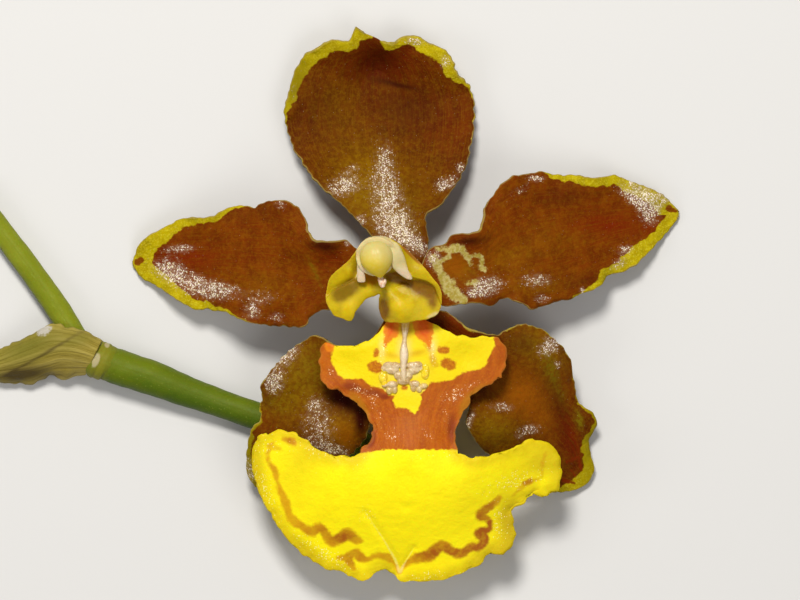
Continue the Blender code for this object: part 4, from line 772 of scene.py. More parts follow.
def outline_distance(x, y, outline):
    """Distance of each point from a closed outline, less than 0 inside it."""
    inside = np.zeros(x.shape, dtype=bool)
    for (ax, ay), (bx, by) in zip(outline, outline[1:] + outline[:1]):
        crosses = (ay > y) != (by > y)
        slope = (bx - ax) / (by - ay if by != ay else 1e-9)
        inside ^= crosses & (x < ax + (y - ay) * slope)
    runs = [[(ax, ay, 0.0), (bx, by, 0.0)] for (ax, ay), (bx, by) in zip(outline, outline[1:] + outline[:1])]
    away = stroke_distance(x, y, runs)
    return np.where(inside, -away, away)


def rim_of(grid):
    """Distance from the margin of each point, and the share along and side of the margin nearest to it."""
    rows, columns = grid.shape[:2]
    shares = np.linspace(0, 1, rows)
    places = np.concatenate([shares, np.ones(columns - 2), shares[::-1]])
    sides = np.concatenate([np.full(rows, -1), np.ones(columns - 2 + rows)])
    away, index = nearest_margin(grid)
    return away, places[index], sides[index]


def build_mesh(name, points, faces, material, traits=None):
    """Makes an object from points in mm round the heart. Faces: arrays of corner numbers."""
    points = np.asarray(points, dtype=float)
    placed = (points + np.array([HEART[0], HEART[1], 0.0])) * MM
    mesh = bpy.data.meshes.new(name)
    corners = np.concatenate([np.asarray(f).reshape(-1) for f in faces])
    sizes = np.concatenate([np.full(len(f), np.asarray(f).shape[1]) for f in faces])
    starts = np.concatenate([[0], np.cumsum(sizes)[:-1]])
    mesh.vertices.add(len(placed))
    mesh.vertices.foreach_set("co", placed.reshape(-1))
    mesh.loops.add(len(corners))
    mesh.loops.foreach_set("vertex_index", corners.astype(np.int32))
    mesh.polygons.add(len(sizes))
    mesh.polygons.foreach_set("loop_start", starts.astype(np.int32))
    mesh.update(calc_edges=True)
    mesh.validate()
    for trait, values in (traits or {}).items():
        layer = mesh.attributes.new(trait, "FLOAT", "POINT")
        layer.data.foreach_set("value", np.asarray(values, dtype=np.float32).reshape(-1))
    mesh.shade_smooth()
    mesh.materials.append(material)
    item = bpy.data.objects.new(name, mesh)
    bpy.context.scene.collection.objects.link(item)
    return item


def dress(item, nodes):
    """Puts a piece on the flower's one body in place of its CAD nodes."""
    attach(item, "root")
    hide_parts(*nodes)
    return item


def sheet_shape(grid, middle_half=MIDDLE_HALF, margin_half=MARGIN_HALF):
    """Closes a grid into a blade that thins towards its margins: points, faces."""
    rows, columns = grid.shape[:2]
    along, across = shares_of(grid)
    thin = np.clip(1 - np.maximum(np.abs(across), 2 * along - 1) ** 6, 0, 1)
    half = margin_half + (middle_half - margin_half) * thin
    normals = grid_normals(grid)
    top = grid + normals * half[..., None]
    bottom = grid - normals * half[..., None]
    bottom[..., 2] = np.maximum(bottom[..., 2], 0.0)
    points = np.concatenate([top.reshape(-1, 3), bottom.reshape(-1, 3)])
    below = rows * columns
    index = np.arange(below).reshape(rows, columns)
    quads = np.stack([index[:-1, :-1], index[:-1, 1:], index[1:, 1:], index[1:, :-1]], axis=-1).reshape(-1, 4)
    rim = np.concatenate([index[0, :-1], index[:-1, -1], index[-1, :0:-1], index[:0:-1, 0]])
    following = np.roll(rim, -1)
    strip = np.stack([rim, rim + below, following + below, following], axis=-1)
    first = points[quads[0]]
    facing = np.cross(first[1] - first[0], first[3] - first[0])[2]
    if facing < 0:
        quads, strip = quads[:, ::-1], strip[:, ::-1]
    return points, [np.concatenate([quads, quads[:, ::-1] + below, strip])]


def build_blade(name, shape, material, traits):
    """Builds a blade whose two faces have the same traits, given on its grid."""
    doubled = {trait: np.tile(grid.reshape(-1), 2) for trait, grid in traits.items()}
    return build_mesh(name, *shape, material, doubled)


# Materials


class Paint:
    """A node material in which lengths are in mm on the flower itself."""

    def __init__(self, name, **constants):
        self.material = bpy.data.materials.new(name)
        self.material.use_nodes = True
        self.tree = self.material.node_tree
        self.shader = self.tree.nodes["Principled BSDF"]
        for socket, value in constants.items():
            self.shader.inputs[socket.replace("_", " ")].default_value = value
        place = self.tree.nodes.new("ShaderNodeTexCoord")
        scaled = self.tree.nodes.new("ShaderNodeVectorMath")
        scaled.operation = "SCALE"
        scaled.inputs["Scale"].default_value = 1000.0
        self.tree.links.new(place.outputs["Object"], scaled.inputs[0])
        self.place = scaled.outputs[0]

    def put(self, socket, value):
        """Feeds a socket with a number, a colour, a node's output or, by its name, a trait of the mesh."""
        if isinstance(value, str):
            value = self.trait(value)
        if isinstance(value, bpy.types.NodeSocket):
            self.tree.links.new(value, socket)
        else:
            socket.default_value = value

    def trait(self, name):
        node = self.tree.nodes.new("ShaderNodeAttribute")
        node.attribute_name = name
        return node.outputs["Fac"]

    def math(self, operation, *values, clamp=False):
        node = self.tree.nodes.new("ShaderNodeMath")
        node.operation = operation
        node.use_clamp = clamp
        for socket, value in zip(node.inputs, values):
            self.put(socket, value)
        return node.outputs[0]

    def plus(self, one, two, clamp=False):
        return self.math("ADD", one, two, clamp=clamp)

    def minus(self, one, two):
        return self.math("SUBTRACT", one, two)

    def times(self, one, two, clamp=False):
        return self.math("MULTIPLY", one, two, clamp=clamp)

    def noise(self, scale, detail=3.0, rough=0.55, place=None):
        node = self.tree.nodes.new("ShaderNodeTexNoise")
        node.inputs["Scale"].default_value = scale
        node.inputs["Detail"].default_value = detail
        node.inputs["Roughness"].default_value = rough
        self.tree.links.new(place or self.place, node.inputs["Vector"])
        return node.outputs["Fac"]

    def cells(self, scale, output="Distance"):
        node = self.tree.nodes.new("ShaderNodeTexVoronoi")
        node.inputs["Scale"].default_value = scale
        self.tree.links.new(self.place, node.inputs["Vector"])
        return node.outputs[output]

    def join(self, x, y, z=0.0):
        node = self.tree.nodes.new("ShaderNodeCombineXYZ")
        for socket, value in zip(node.inputs, (x, y, z)):
            self.put(socket, value)
        return node.outputs[0]

    def step(self, value, low, high, to_low=0.0, to_high=1.0):
        """Eases from to_low at low to to_high at high."""
        node = self.tree.nodes.new("ShaderNodeMapRange")
        node.interpolation_type = "SMOOTHSTEP"
        for socket, number in zip(("Value", "From Min", "From Max", "To Min", "To Max"),
                                  (value, low, high, to_low, to_high)):
            self.put(node.inputs[socket], number)
        return node.outputs[0]

    def mix(self, share, one, two):
        node = self.tree.nodes.new("ShaderNodeMix")
        node.data_type = "RGBA"
        self.put(node.inputs["Factor"], share)
        for socket, value in ((node.inputs[6], one), (node.inputs[7], two)):
            self.put(socket, (*value, 1.0) if isinstance(value, tuple) else value)
        return node.outputs[2]

    def edged(self, distance, soft, wander, scale):
        """1 inside a marking, 0 outside, its edge led astray by noise."""
        astray = self.times(self.minus(self.noise(scale, 3.0), 0.5), wander)
        return self.step(self.plus(distance, astray), -soft, soft, 1.0, 0.0)

    def stain(self, colour, trait, share, hue):
        """Lays a hue over the colour where a trait is high, by share times the trait."""
        return self.mix(self.times(trait, share, clamp=True), colour, hue)

    def blend(self, value, low, high, one, two, share=1.0):
        """Goes from one hue towards another, up to share of it, as the value rises from low to high."""
        return self.mix(self.step(value, low, high, 0.0, share), one, two)

    def finish(self, colour, roughness, *reliefs):
        """Reliefs: pairs of height value and depth in mm."""
        self.put(self.shader.inputs["Base Color"], colour)
        self.put(self.shader.inputs["Roughness"], roughness)
        normal = None
        for height, depth in reliefs:
            node = self.tree.nodes.new("ShaderNodeBump")
            node.inputs["Strength"].default_value = 1.0
            node.inputs["Distance"].default_value = depth * MM
            self.put(node.inputs["Height"], height)
            if normal is not None:
                self.tree.links.new(normal, node.inputs["Normal"])
            normal = node.outputs[0]
        if normal is not None:
            self.tree.links.new(normal, self.shader.inputs["Normal"])
        return self.material


def speckle(paint, amount, scale):
    """Small spots, more and larger where amount is high: share covered, and how strongly each one shows."""
    chance = paint.cells(scale, "Color")
    level = paint.minus(paint.plus(paint.times(amount, 0.8), chance), 0.95)
    reach = paint.step(level, 0.0, 0.5, 0.2, 0.6)
    spot = paint.step(paint.minus(paint.cells(scale), reach), -0.12, 0.1, 1.0, 0.0)
    return paint.times(spot, paint.step(level, 0.0, 0.06)), level


def painted_sparkle(paint, amount, lines=0.5, scale=9.5):
    """Painted highlights of skin that catches the light: share lit, sheen round it, fine height, brightness
    and tint.
    """
    fine = paint.noise(scale, 2.0, 0.75)
    patchy = paint.step(paint.noise(2.2, 4.0, 0.7), 0.34, 0.64, 0.35, 1.15)
    patchy = paint.times(patchy, paint.step(lines, 0.38, 0.62, 0.65, 1.2))
    sheen_haze = paint.math("MINIMUM", paint.plus(paint.times(amount, patchy), 0.1), 1.0)
    lit, level = speckle(paint, sheen_haze, scale)
    glint = paint.step(level, 0.0, 0.55)
    tint = paint.step(paint.noise(scale * 1.2, 1.0), 0.42, 0.6)
    return lit, sheen_haze, fine, glint, tint


def tepal_material(name, brown, deep, olive, red):
    """Velvety brown skin with a yellow margin, painted glints in patches, and darker patches that are partly
    painted shade.
    """
    paint = Paint(name, Specular_IOR_Level=0.03, Subsurface_Weight=0.05, Subsurface_Scale=0.0004)
    mottle = paint.noise(0.8, 5.0, 0.6)
    fine = paint.noise(2.6, 4.0, 0.65)
    grain = paint.noise(6.0, 3.0, 0.6)
    lanes = paint.join(paint.times("along", 5.0), paint.times("across", 16.0))
    streak = paint.noise(1.0, 4.0, 0.6, place=lanes)
    threads = paint.join(paint.times("along", 9.0), paint.times("across", 60.0))
    fibre = paint.noise(1.0, 3.0, 0.6, place=threads)
    colour = paint.blend(mottle, 0.35, 0.68, deep, brown)
    colour = paint.blend(streak, 0.45, 0.75, colour, red, 0.5)
    golden = paint.times("olive", paint.step(fine, 0.3, 0.62, 0.5, 1.0))
    golden = paint.plus(golden, paint.step(fine, 0.44, 0.7, 0.0, 0.3), clamp=True)
    colour = paint.mix(golden, colour, olive)
    warm = paint.times("warm", paint.step(fine, 0.3, 0.6, 0.7, 1.0), clamp=True)
    colour = paint.mix(warm, colour, (0.25, 0.066, 0.001))
    moss = paint.times("moss", paint.step(fine, 0.38, 0.6, 0.25, 1.0), clamp=True)
    colour = paint.mix(moss, colour, (0.165, 0.115, 0.002))
    ruddy = paint.times("red", paint.step(streak, 0.3, 0.6, 0.45, 1.0), clamp=True)
    colour = paint.mix(ruddy, colour, (0.16, 0.010, 0.0005))
    colour = paint.blend(grain, 0.5, 0.72, colour, olive, 0.25)
    colour = paint.blend(fibre, 0.48, 0.7, colour, olive, 0.25)
    # Darker patches, partly painted shade.
    colour = paint.stain(colour, "dark", 0.85, (0.03, 0.003, 0.0005))
    astray = paint.times(paint.minus(paint.noise(1.4, 3.0), 0.5), 0.6)
    pale = paint.edged(paint.plus("pale", astray), 0.13, 0.65, 4.2)
    pale_hue = paint.blend(fine, 0.4, 0.6, (0.36, 0.28, 0.045), (0.50, 0.42, 0.15))
    pale_hue = paint.blend(grain, 0.54, 0.7, pale_hue, (0.36, 0.17, 0.01), 0.4)
    colour = paint.mix(paint.times(pale, 0.92), colour, pale_hue)
    yellow = paint.edged("yellow", 0.07, 0.7, 1.5)
    rim_hue = paint.blend(paint.noise(1.1, 3.0), 0.38, 0.62, (0.34, 0.25, 0.001), (0.43, 0.33, 0.001))
    rim_hue = paint.blend(grain, 0.46, 0.7, rim_hue, (0.60, 0.51, 0.03), 0.6)
    rim_hue = paint.stain(rim_hue, "dull", 1.0, (0.21, 0.155, 0.001))
    colour = paint.mix(yellow, colour, rim_hue)
    dot = paint.edged("dot", 0.08, 0.4, 2.5)
    colour = paint.mix(paint.times(dot, 0.9), colour, (0.17, 0.02, 0.001))
    edge = paint.step("rim", 0.0, 0.1, 0.65, 0.0)
    colour = paint.mix(edge, colour, (0.36, 0.27, 0.07))
    # Painted highlights: glints and a sheen round them, painted into the colour.
    bright, sheen_haze, ruffle, glint, tint = painted_sparkle(paint, "glitter", fibre)
    colour = paint.blend(sheen_haze, 0.2, 1.0, colour, (0.36, 0.25, 0.17), 0.4)
    glint_hue = paint.mix(tint, (0.80, 0.72, 0.40), (0.92, 0.78, 0.80))
    glint_hue = paint.mix(glint, (0.36, 0.25, 0.14), glint_hue)
    colour = paint.mix(bright, colour, glint_hue)
    rough = paint.minus(0.6, paint.times(bright, 0.25))
    veins = paint.math("SINE", paint.times("across", 42.0))
    return paint.finish(colour, rough, (ruffle, 0.04), (grain, 0.03), (mottle, 0.2), (veins, 0.006))


def lip_material():
    paint = Paint("lip_skin", Specular_IOR_Level=0.15, Subsurface_Weight=0.1, Subsurface_Scale=0.0006)
    drift = paint.noise(0.35, 3.0)
    grain = paint.noise(4.5, 3.0, 0.6)
    blotch = paint.noise(1.3, 4.0, 0.6)
    colour = paint.blend(drift, 0.35, 0.65, (0.93, 0.75, 0.001), (1.0, 0.86, 0.001))
    # Painted light on the middle lobe.
    colour = paint.stain(colour, "sunny", 1.0, (1.0, 0.82, 0.001))
    outer = paint.step("rim", 0.15, 1.5, 0.7, 0.0)
    colour = paint.mix(outer, colour, (0.62, 0.44, 0.001))
    colour = paint.stain(colour, "shade", 1.0, (0.50, 0.355, 0.001))
    colour = paint.mix("lobes", colour, (0.82, 0.63, 0.001))
    colour = paint.stain(colour, "throat", 0.9, (0.62, 0.33, 0.002))
    warm = paint.edged("faint", 0.15, 0.5, 2.0)
    colour = paint.mix(paint.times(warm, 0.55), colour, (0.58, 0.27, 0.001))
    milk = paint.times("milk", paint.step(blotch, 0.3, 0.6, 0.5, 1.0), clamp=True)
    colour = paint.mix(milk, colour, (0.82, 0.68, 0.34))
    band = paint.edged(paint.minus("band", 0.05), 0.18, 0.4, 1.9)
    deep = paint.times("deep", paint.step(blotch, 0.35, 0.6, 0.85, 1.0), clamp=True)
    band_hue = paint.mix(deep, (0.68, 0.35, 0.001), (0.36, 0.088, 0.003))
    band = paint.times(band, paint.step(blotch, 0.35, 0.6, 0.88, 1.0))
    colour = paint.mix(band, colour, band_hue)
    lanes = paint.join(paint.times("along", 14.0), paint.times("across", 11.0))
    streak = paint.noise(1.0, 4.0, 0.65, place=lanes)
    waist_hue = paint.blend(streak, 0.35, 0.7, (0.36, 0.066, 0.0005), (0.46, 0.105, 0.0005))
    waist_hue = paint.blend(grain, 0.45, 0.7, waist_hue, (0.54, 0.15, 0.001), 0.4)
    # Dark patches of the waist, partly painted shade.
    waist_hue = paint.blend("ember", 0.2, 0.9, waist_hue, (0.24, 0.032, 0.001))
    waist_hue = paint.blend("gold", 0.05, 1.0, waist_hue, (0.42, 0.15, 0.001), 0.85)
    hem = paint.step("rim", 0.0, 0.25, 0.35, 0.0)
    waist_hue = paint.mix(hem, waist_hue, (0.45, 0.20, 0.03))
    waist = paint.edged(paint.times("brown", -1.0), 0.1, 0.4, 2.6)
    colour = paint.mix(waist, colour, waist_hue)
    spots = paint.edged("spots", 0.13, 0.45, 3.0)
    spot_hue = paint.blend(grain, 0.4, 0.65, (0.42, 0.09, 0.001), (0.54, 0.17, 0.001))
    colour = paint.mix(paint.times(spots, 0.94), colour, spot_hue)
    streaks = paint.edged("streaks", 0.12, 0.35, 2.6)
    streak_hue = paint.blend("streaks", -0.7, -0.1, (0.66, 0.09, 0.001), (0.68, 0.19, 0.001))
    streak_hue = paint.blend(streak, 0.45, 0.7, streak_hue, (0.66, 0.18, 0.001), 0.4)
    colour = paint.mix(streaks, colour, streak_hue)
    crease = paint.edged("crease", 0.12, 0.2, 3.0)
    colour = paint.mix(paint.times(crease, 0.5), colour, (0.97, 0.88, 0.30))
    # Painted highlights: glints, the sheen round them and bright flecks, painted into the colour.
    bright, sheen_haze, ruffle, glint, tint = painted_sparkle(paint, "glitter")
    colour = paint.mix(paint.times(sheen_haze, 0.12), colour, (0.55, 0.28, 0.08))
    glint_hue = paint.mix(tint, (0.95, 0.60, 0.28), (1.0, 0.78, 0.60))
    glint_hue = paint.mix(glint, (0.62, 0.24, 0.04), glint_hue)
    colour = paint.mix(paint.times(bright, paint.step(sheen_haze, 0.1, 0.4, 0.35, 1.0)), colour, glint_hue)
    painted_flecks = speckle(paint, paint.times("frosty", 0.9), 8.0)[0]
    colour = paint.mix(paint.times(painted_flecks, 0.75), colour, (1.0, 0.93, 0.40))
    rough = paint.minus(0.5, paint.times(bright, 0.25))
    return paint.finish(colour, rough, (ruffle, 0.02), (grain, 0.02), (blotch, 0.1))


def callus_material():
    paint = Paint("callus_skin", Specular_IOR_Level=0.5, Subsurface_Weight=0.35, Subsurface_Scale=0.0006,
                  Subsurface_Radius=(1.0, 0.75, 0.45))
    grain = paint.noise(5.0, 3.0, 0.6)
    blotch = paint.noise(1.8, 3.0)
    yellow = paint.blend(blotch, 0.48, 0.7, (0.82, 0.62, 0.004), (0.72, 0.38, 0.003))
    cream = paint.blend(blotch, 0.35, 0.62, (0.50, 0.33, 0.14), (0.64, 0.49, 0.27))
    cream = paint.blend("height", 0.35, 0.7, cream, (0.78, 0.64, 0.46), 0.8)
    share = paint.plus("cream", paint.times(paint.minus(blotch, 0.5), 0.5))
    colour = paint.blend(share, 0.25, 0.75, yellow, cream)
    colour = paint.blend("ruddy", 0.3, 0.9, colour, (0.62, 0.38, 0.05))
    # Painted shade: the low parts between the knobs are darkened to amber, blending into the lip's yellow.
    hollow_shade = paint.step("height", -0.1, 0.25, 0.9, 0.0)
    colour = paint.mix(hollow_shade, colour, (0.70, 0.48, 0.03))
    return paint.finish(colour, 0.25, (grain, 0.02), (blotch, 0.05))


def column_material():
    paint = Paint("column_skin", Specular_IOR_Level=0.2, Subsurface_Weight=0.25, Subsurface_Scale=0.0008)
    grain = paint.noise(4.0, 3.0, 0.55)
    drift = paint.noise(0.7, 3.0)
    ripple = paint.noise(2.0, 3.0, 0.6)
    astray = paint.times(paint.minus(paint.plus(drift, ripple), 1.0), 0.35)
    colour = paint.blend(drift, 0.35, 0.65, (0.46, 0.32, 0.002), (0.56, 0.41, 0.003))
    # Among these patches are painted shade under the arms and down the body, and the wing's greenish brown,
    # partly painted shade under its fold.
    for trait, hue, share in (("bright", (0.62, 0.44, 0.001), 0.95), ("painted_shade", (0.17, 0.06, 0.001), 0.92),
                              ("green", (0.20, 0.105, 0.002), 0.9), ("orange", (0.40, 0.15, 0.001), 0.95),
                              ("cream", (0.65, 0.54, 0.26), 0.95), ("blush", (0.70, 0.54, 0.38), 0.8),
                              ("edge", (0.26, 0.07, 0.003), 0.85)):
        colour = paint.blend(paint.plus(trait, astray), 0.15, 0.95, colour, hue, share)
    colour = paint.mix(paint.step(ripple, 0.42, 0.6, 0.1, 0.0), colour, (0.36, 0.22, 0.004))
    return paint.finish(colour, 0.42, (grain, 0.015), (ripple, 0.04), (drift, 0.03))


def cap_material():
    paint = Paint("cap_skin", Specular_IOR_Level=0.5, Subsurface_Weight=0.25, Subsurface_Scale=0.0008)
    grain = paint.noise(3.0, 3.0)
    low = paint.step("low", 0.1, 0.95)
    colour = paint.mix(low, (0.57, 0.46, 0.13), (0.70, 0.51, 0.003))
    colour = paint.blend(grain, 0.4, 0.7, colour, (0.66, 0.58, 0.22), 0.2)
    return paint.finish(colour, 0.46, (grain, 0.02))


def pollen_material():
    paint = Paint("pollen_skin", Specular_IOR_Level=0.5, Subsurface_Weight=0.2, Subsurface_Scale=0.0004)
    grain = paint.noise(6.0, 3.0)
    colour = paint.blend(grain, 0.4, 0.65, (0.66, 0.40, 0.24), (0.86, 0.66, 0.50))
    return paint.finish(colour, 0.35, (grain, 0.05))


def stalk_material():
    paint = Paint("stalk_skin", Specular_IOR_Level=0.15, Subsurface_Weight=0.15, Subsurface_Scale=0.001)
    lanes = paint.join(paint.times("along", 6.0), paint.times("around", 9.0))
    fibre = paint.noise(1.6, 5.0, 0.6, place=lanes)
    drift = paint.noise(0.25, 3.0)
    grain = paint.noise(4.0, 3.0)
    green = paint.blend(drift, 0.35, 0.65, (0.055, 0.10, 0.001), (0.095, 0.135, 0.001))
    branch = paint.blend(drift, 0.35, 0.65, (0.175, 0.205, 0.004), (0.225, 0.25, 0.01))
    colour = paint.mix("branch", green, branch)
    # Painted light and shade: the stalk's upper side is painted lighter and its lower side darker.
    colour = paint.blend("above", 0.3, 1.0, colour, (0.17, 0.20, 0.003), 0.35)
    colour = paint.blend("above", 0.2, -0.8, colour, (0.035, 0.075, 0.001), 0.7)
    colour = paint.blend(fibre, 0.45, 0.75, colour, (0.19, 0.23, 0.01), 0.3)
    fleck = paint.step(paint.cells(2.2), 0.0, 0.2, 0.5, 0.0)
    colour = paint.mix(fleck, colour, (0.26, 0.30, 0.05))
    colour = paint.mix(paint.times("ring", 0.85), colour, (0.22, 0.20, 0.012))
    scar = paint.step(paint.plus("scar", paint.times(grain, 0.3)), 0.45, 0.75)
    colour = paint.mix(scar, colour, (0.42, 0.36, 0.18))
    colour = paint.mix("cut", colour, paint.blend(fibre, 0.4, 0.6, (0.34, 0.40, 0.12), (0.52, 0.54, 0.26)))
    return paint.finish(colour, 0.5, (fibre, 0.03), (grain, 0.03))


def bract_material():
    paint = Paint("bract_skin", Specular_IOR_Level=0.25)
    lanes = paint.join(paint.times("along", 2.5), paint.times("across", 10.0))
    fibre = paint.noise(1.4, 5.0, 0.6, place=lanes)
    grain = paint.noise(4.0, 4.0)
    colour = paint.blend(fibre, 0.35, 0.65, (0.23, 0.17, 0.016), (0.38, 0.29, 0.045))
    colour = paint.blend("ridge", 0.0, 0.9, colour, (0.48, 0.38, 0.09), 0.4)
    colour = paint.blend("ridge", -0.4, -1.0, colour, (0.13, 0.09, 0.008), 0.3)
    green = paint.times("greenish", paint.step(fibre, 0.3, 0.6, 0.6, 1.0))
    colour = paint.mix(green, colour, (0.15, 0.135, 0.006))
    colour = paint.stain(colour, "dry", 0.8, (0.07, 0.045, 0.004))
    tuft = paint.plus("white", paint.times(paint.minus(grain, 0.5), 0.9))
    colour = paint.blend(tuft, 0.4, 0.8, colour, (0.47, 0.43, 0.35))
    return paint.finish(colour, 0.62, (fibre, 0.12), (grain, 0.04))


def ovary_material():
    paint = Paint("ovary_skin", Specular_IOR_Level=0.4, Subsurface_Weight=0.1, Subsurface_Scale=0.0006)
    drift = paint.noise(0.6, 4.0)
    grain = paint.noise(4.0, 3.0)
    colour = paint.blend(drift, 0.35, 0.65, (0.24, 0.28, 0.03), (0.36, 0.38, 0.06))
    colour = paint.blend("ridge", 0.2, 1.0, colour, (0.42, 0.42, 0.10), 0.5)
    colour = paint.blend(grain, 0.55, 0.7, colour, (0.30, 0.12, 0.02), 0.5)
    return paint.finish(colour, 0.45, (grain, 0.03))


# Sepals and petals


def make_tepal(name, ribs, wave, swells, margin, seed, material):
    """One sepal or petal, with all that its material needs to know about each point."""
    grid = blade_grid(ribs, BLADE_ROWS, BLADE_COLUMNS)
    settle(grid, ribs)
    wave_margins(grid, wave)
    swell(grid, swells)
    fray(grid, *TEPAL_FRAY, seed)
    grid[..., 2] = np.maximum(grid[..., 2], REST_LEVEL)
    x, y = grid[..., 0], grid[..., 1]
    along, across = shares_of(grid)
    rim, place, side = rim_of(grid)
    shares, left, right = np.array(margin).T
    yellow = rim - np.where(side < 0, np.interp(place, shares, left), np.interp(place, shares, right))
    if name == "dorsal_sepal":
        yellow = np.maximum(yellow, -stroke_distance(x, y, TONGUE))
    veins = curved(PALE_VEINS) if name == "petal_right" else []
    traits = {
        "along": along, "across": across, "rim": rim, "yellow": yellow,
        "pale": stroke_distance(x, y, veins), "dot": stroke_distance(x, y, TIP_DOTS.get(name, [])),
    }
    # Patches of hue, with painted glints and painted shade among them.
    for trait, table in (("glitter", PAINTED_GLINTS), ("dark", DARK_AND_SHADE), ("red", RED), ("olive", OLIVE),
                         ("warm", WARM), ("moss", MOSS), ("dull", DULL)):
        traits[trait] = patch_strength(x, y, table.get(name, []))
    item = build_blade(name + "_blade", sheet_shape(grid), material, traits)
    return dress(item, [name])


def lip_surface():
    grid = blade_grid(LIP, LIP_ROWS, LIP_COLUMNS)
    settle(grid, LIP, rounds=220)
    swell(grid, LIP_SWELLS)
    fray(grid, *LIP_COARSE_FRAY, 7)
    fray(grid, *LIP_FINE_FRAY, 17)
    crease = stroke_distance(grid[..., 0], grid[..., 1], LIP_CREASE)
    grid[..., 2] -= CREASE_DEPTH * np.exp(-(np.maximum(crease, 0) / CREASE_REACH) ** 2)
    return grid


def make_lip(material):
    grid = lip_surface()
    x, y = grid[..., 0], grid[..., 1]
    along, across = shares_of(grid)
    yellow = np.minimum(outline_distance(x, y, SIDE_LOBE_YELLOW), outline_distance(x, y, THROAT_PATCH))
    brown = np.minimum(yellow, -outline_distance(x, y, WAIST_BROWN))
    traits = {"along": along, "across": across, "rim": rim_of(grid)[0], "brown": brown}
    for trait, strokes in (("band", curved(LOBE_BAND)), ("faint", FAINT_BAND + FAINT_SPOTS),
                           ("spots", LIP_SPOTS), ("streaks", BASE_STREAKS), ("crease", LIP_CREASE)):
        traits[trait] = stroke_distance(x, y, strokes)
    traits["crease"] = traits["crease"] + CREASE_LINE_LESS
    # Patches of hue, with painted glints, painted light and painted shade among them.
    for trait, patches in (("glitter", LIP_PAINTED_GLINTS), ("deep", BAND_DEEP), ("frosty", LIP_GLINT_FLECKS),
                           ("throat", LIP_THROAT), ("shade", LIP_SHADE), ("sunny", LIP_PAINTED_LIGHT),
                           ("milk", LIP_MILK), ("gold", WAIST_GOLD), ("ember", WAIST_EMBER_AND_SHADE)):
        traits[trait] = patch_strength(x, y, patches)
    traits["glitter"] = traits["glitter"] * LIP_PAINTED_GLINT_SHARE
    traits["lobes"] = np.clip((y - SIDE_LOBES_FROM) / 2.0, 0, 1)
    return dress(build_blade("lip_blade", sheet_shape(grid), material, traits), ["lip"])


# Grown bodies: closed shapes melted into one skin


def ring_quads(rings, sides, start=0):
    """Corner numbers of rings of points, the corner beside each one, and the faces between the rings."""
    index = start + np.arange(rings * sides).reshape(rings, sides)
    beside = np.roll(index, -1, axis=1)
    quads = np.stack([index[:-1], index[1:], beside[1:], beside[:-1]], axis=-1).reshape(-1, 4)
    return index, beside, quads


def end_fans(index, beside, first, last):
    """Triangles that close the first and the last ring round the points first and last."""
    ends = np.full(index.shape[1], first), np.full(index.shape[1], last)
    return np.concatenate([np.stack([ends[0], index[0], beside[0]], axis=-1),
                           np.stack([ends[1], beside[-1], index[-1]], axis=-1)])


def ball_shape(centre, sizes, rings=14, sides=20):
    """An egg-shaped closed form: points, faces."""
    tilt = np.linspace(0, np.pi, rings + 1)[1:-1]
    turn = np.arange(sides) * 2 * np.pi / sides
    ring_points = np.stack([
        np.outer(np.sin(tilt), np.cos(turn)), np.outer(np.sin(tilt), np.sin(turn)),
        np.outer(np.cos(tilt), np.ones(sides)),
    ], axis=-1).reshape(-1, 3)
    points = np.concatenate([[(0, 0, 1)], ring_points, [(0, 0, -1)]]) * np.array(sizes) + np.array(centre)
    index, beside, quads = ring_quads(rings - 1, sides, 1)
    return points, [quads, end_fans(index, beside, 0, len(points) - 1)]


def tube_shape(stations, sides=16, rows=None, rib_count=0, rib_depth=0.0):
    """A round stem through stations of x, y, z and radius: points, faces."""
    path = smooth_through(stations, rows or 6 * len(stations))
    centres, radii = path[:, :3], path[:, 3]
    ahead = np.gradient(centres, axis=0)
    ahead /= np.linalg.norm(ahead, axis=1, keepdims=True)
    guide = np.where(np.abs(ahead[:, 2:]) < 0.8, np.array([[0, 0, 1.0]]), np.array([[0, 1.0, 0]]))
    side = np.cross(ahead, guide)
    side /= np.linalg.norm(side, axis=1, keepdims=True)
    up = np.cross(side, ahead)
    turn = np.arange(sides) * 2 * np.pi / sides
    reach = radii[:, None] * (1 + rib_depth * np.cos(rib_count * turn)[None])
    points = centres[:, None] + reach[..., None] * (
        np.cos(turn)[None, :, None] * up[:, None] + np.sin(turn)[None, :, None] * side[:, None])
    count = len(centres)
    index, beside, quads = ring_quads(count, sides)
    points = np.concatenate([points.reshape(-1, 3), [centres[0], centres[-1]]])
    return points, [quads, end_fans(index, beside, count * sides, count * sides + 1)]


def outward(points, faces):
    """Turns all faces round if they point inwards."""
    volume = 0.0
    for group in faces:
        for second in range(1, group.shape[1] - 1):
            a, b, c = points[group[:, 0]], points[group[:, second]], points[group[:, second + 1]]
            volume += np.einsum("ij,ij->i", a, np.cross(b, c)).sum()
    return faces if volume > 0 else [group[:, ::-1] for group in faces]


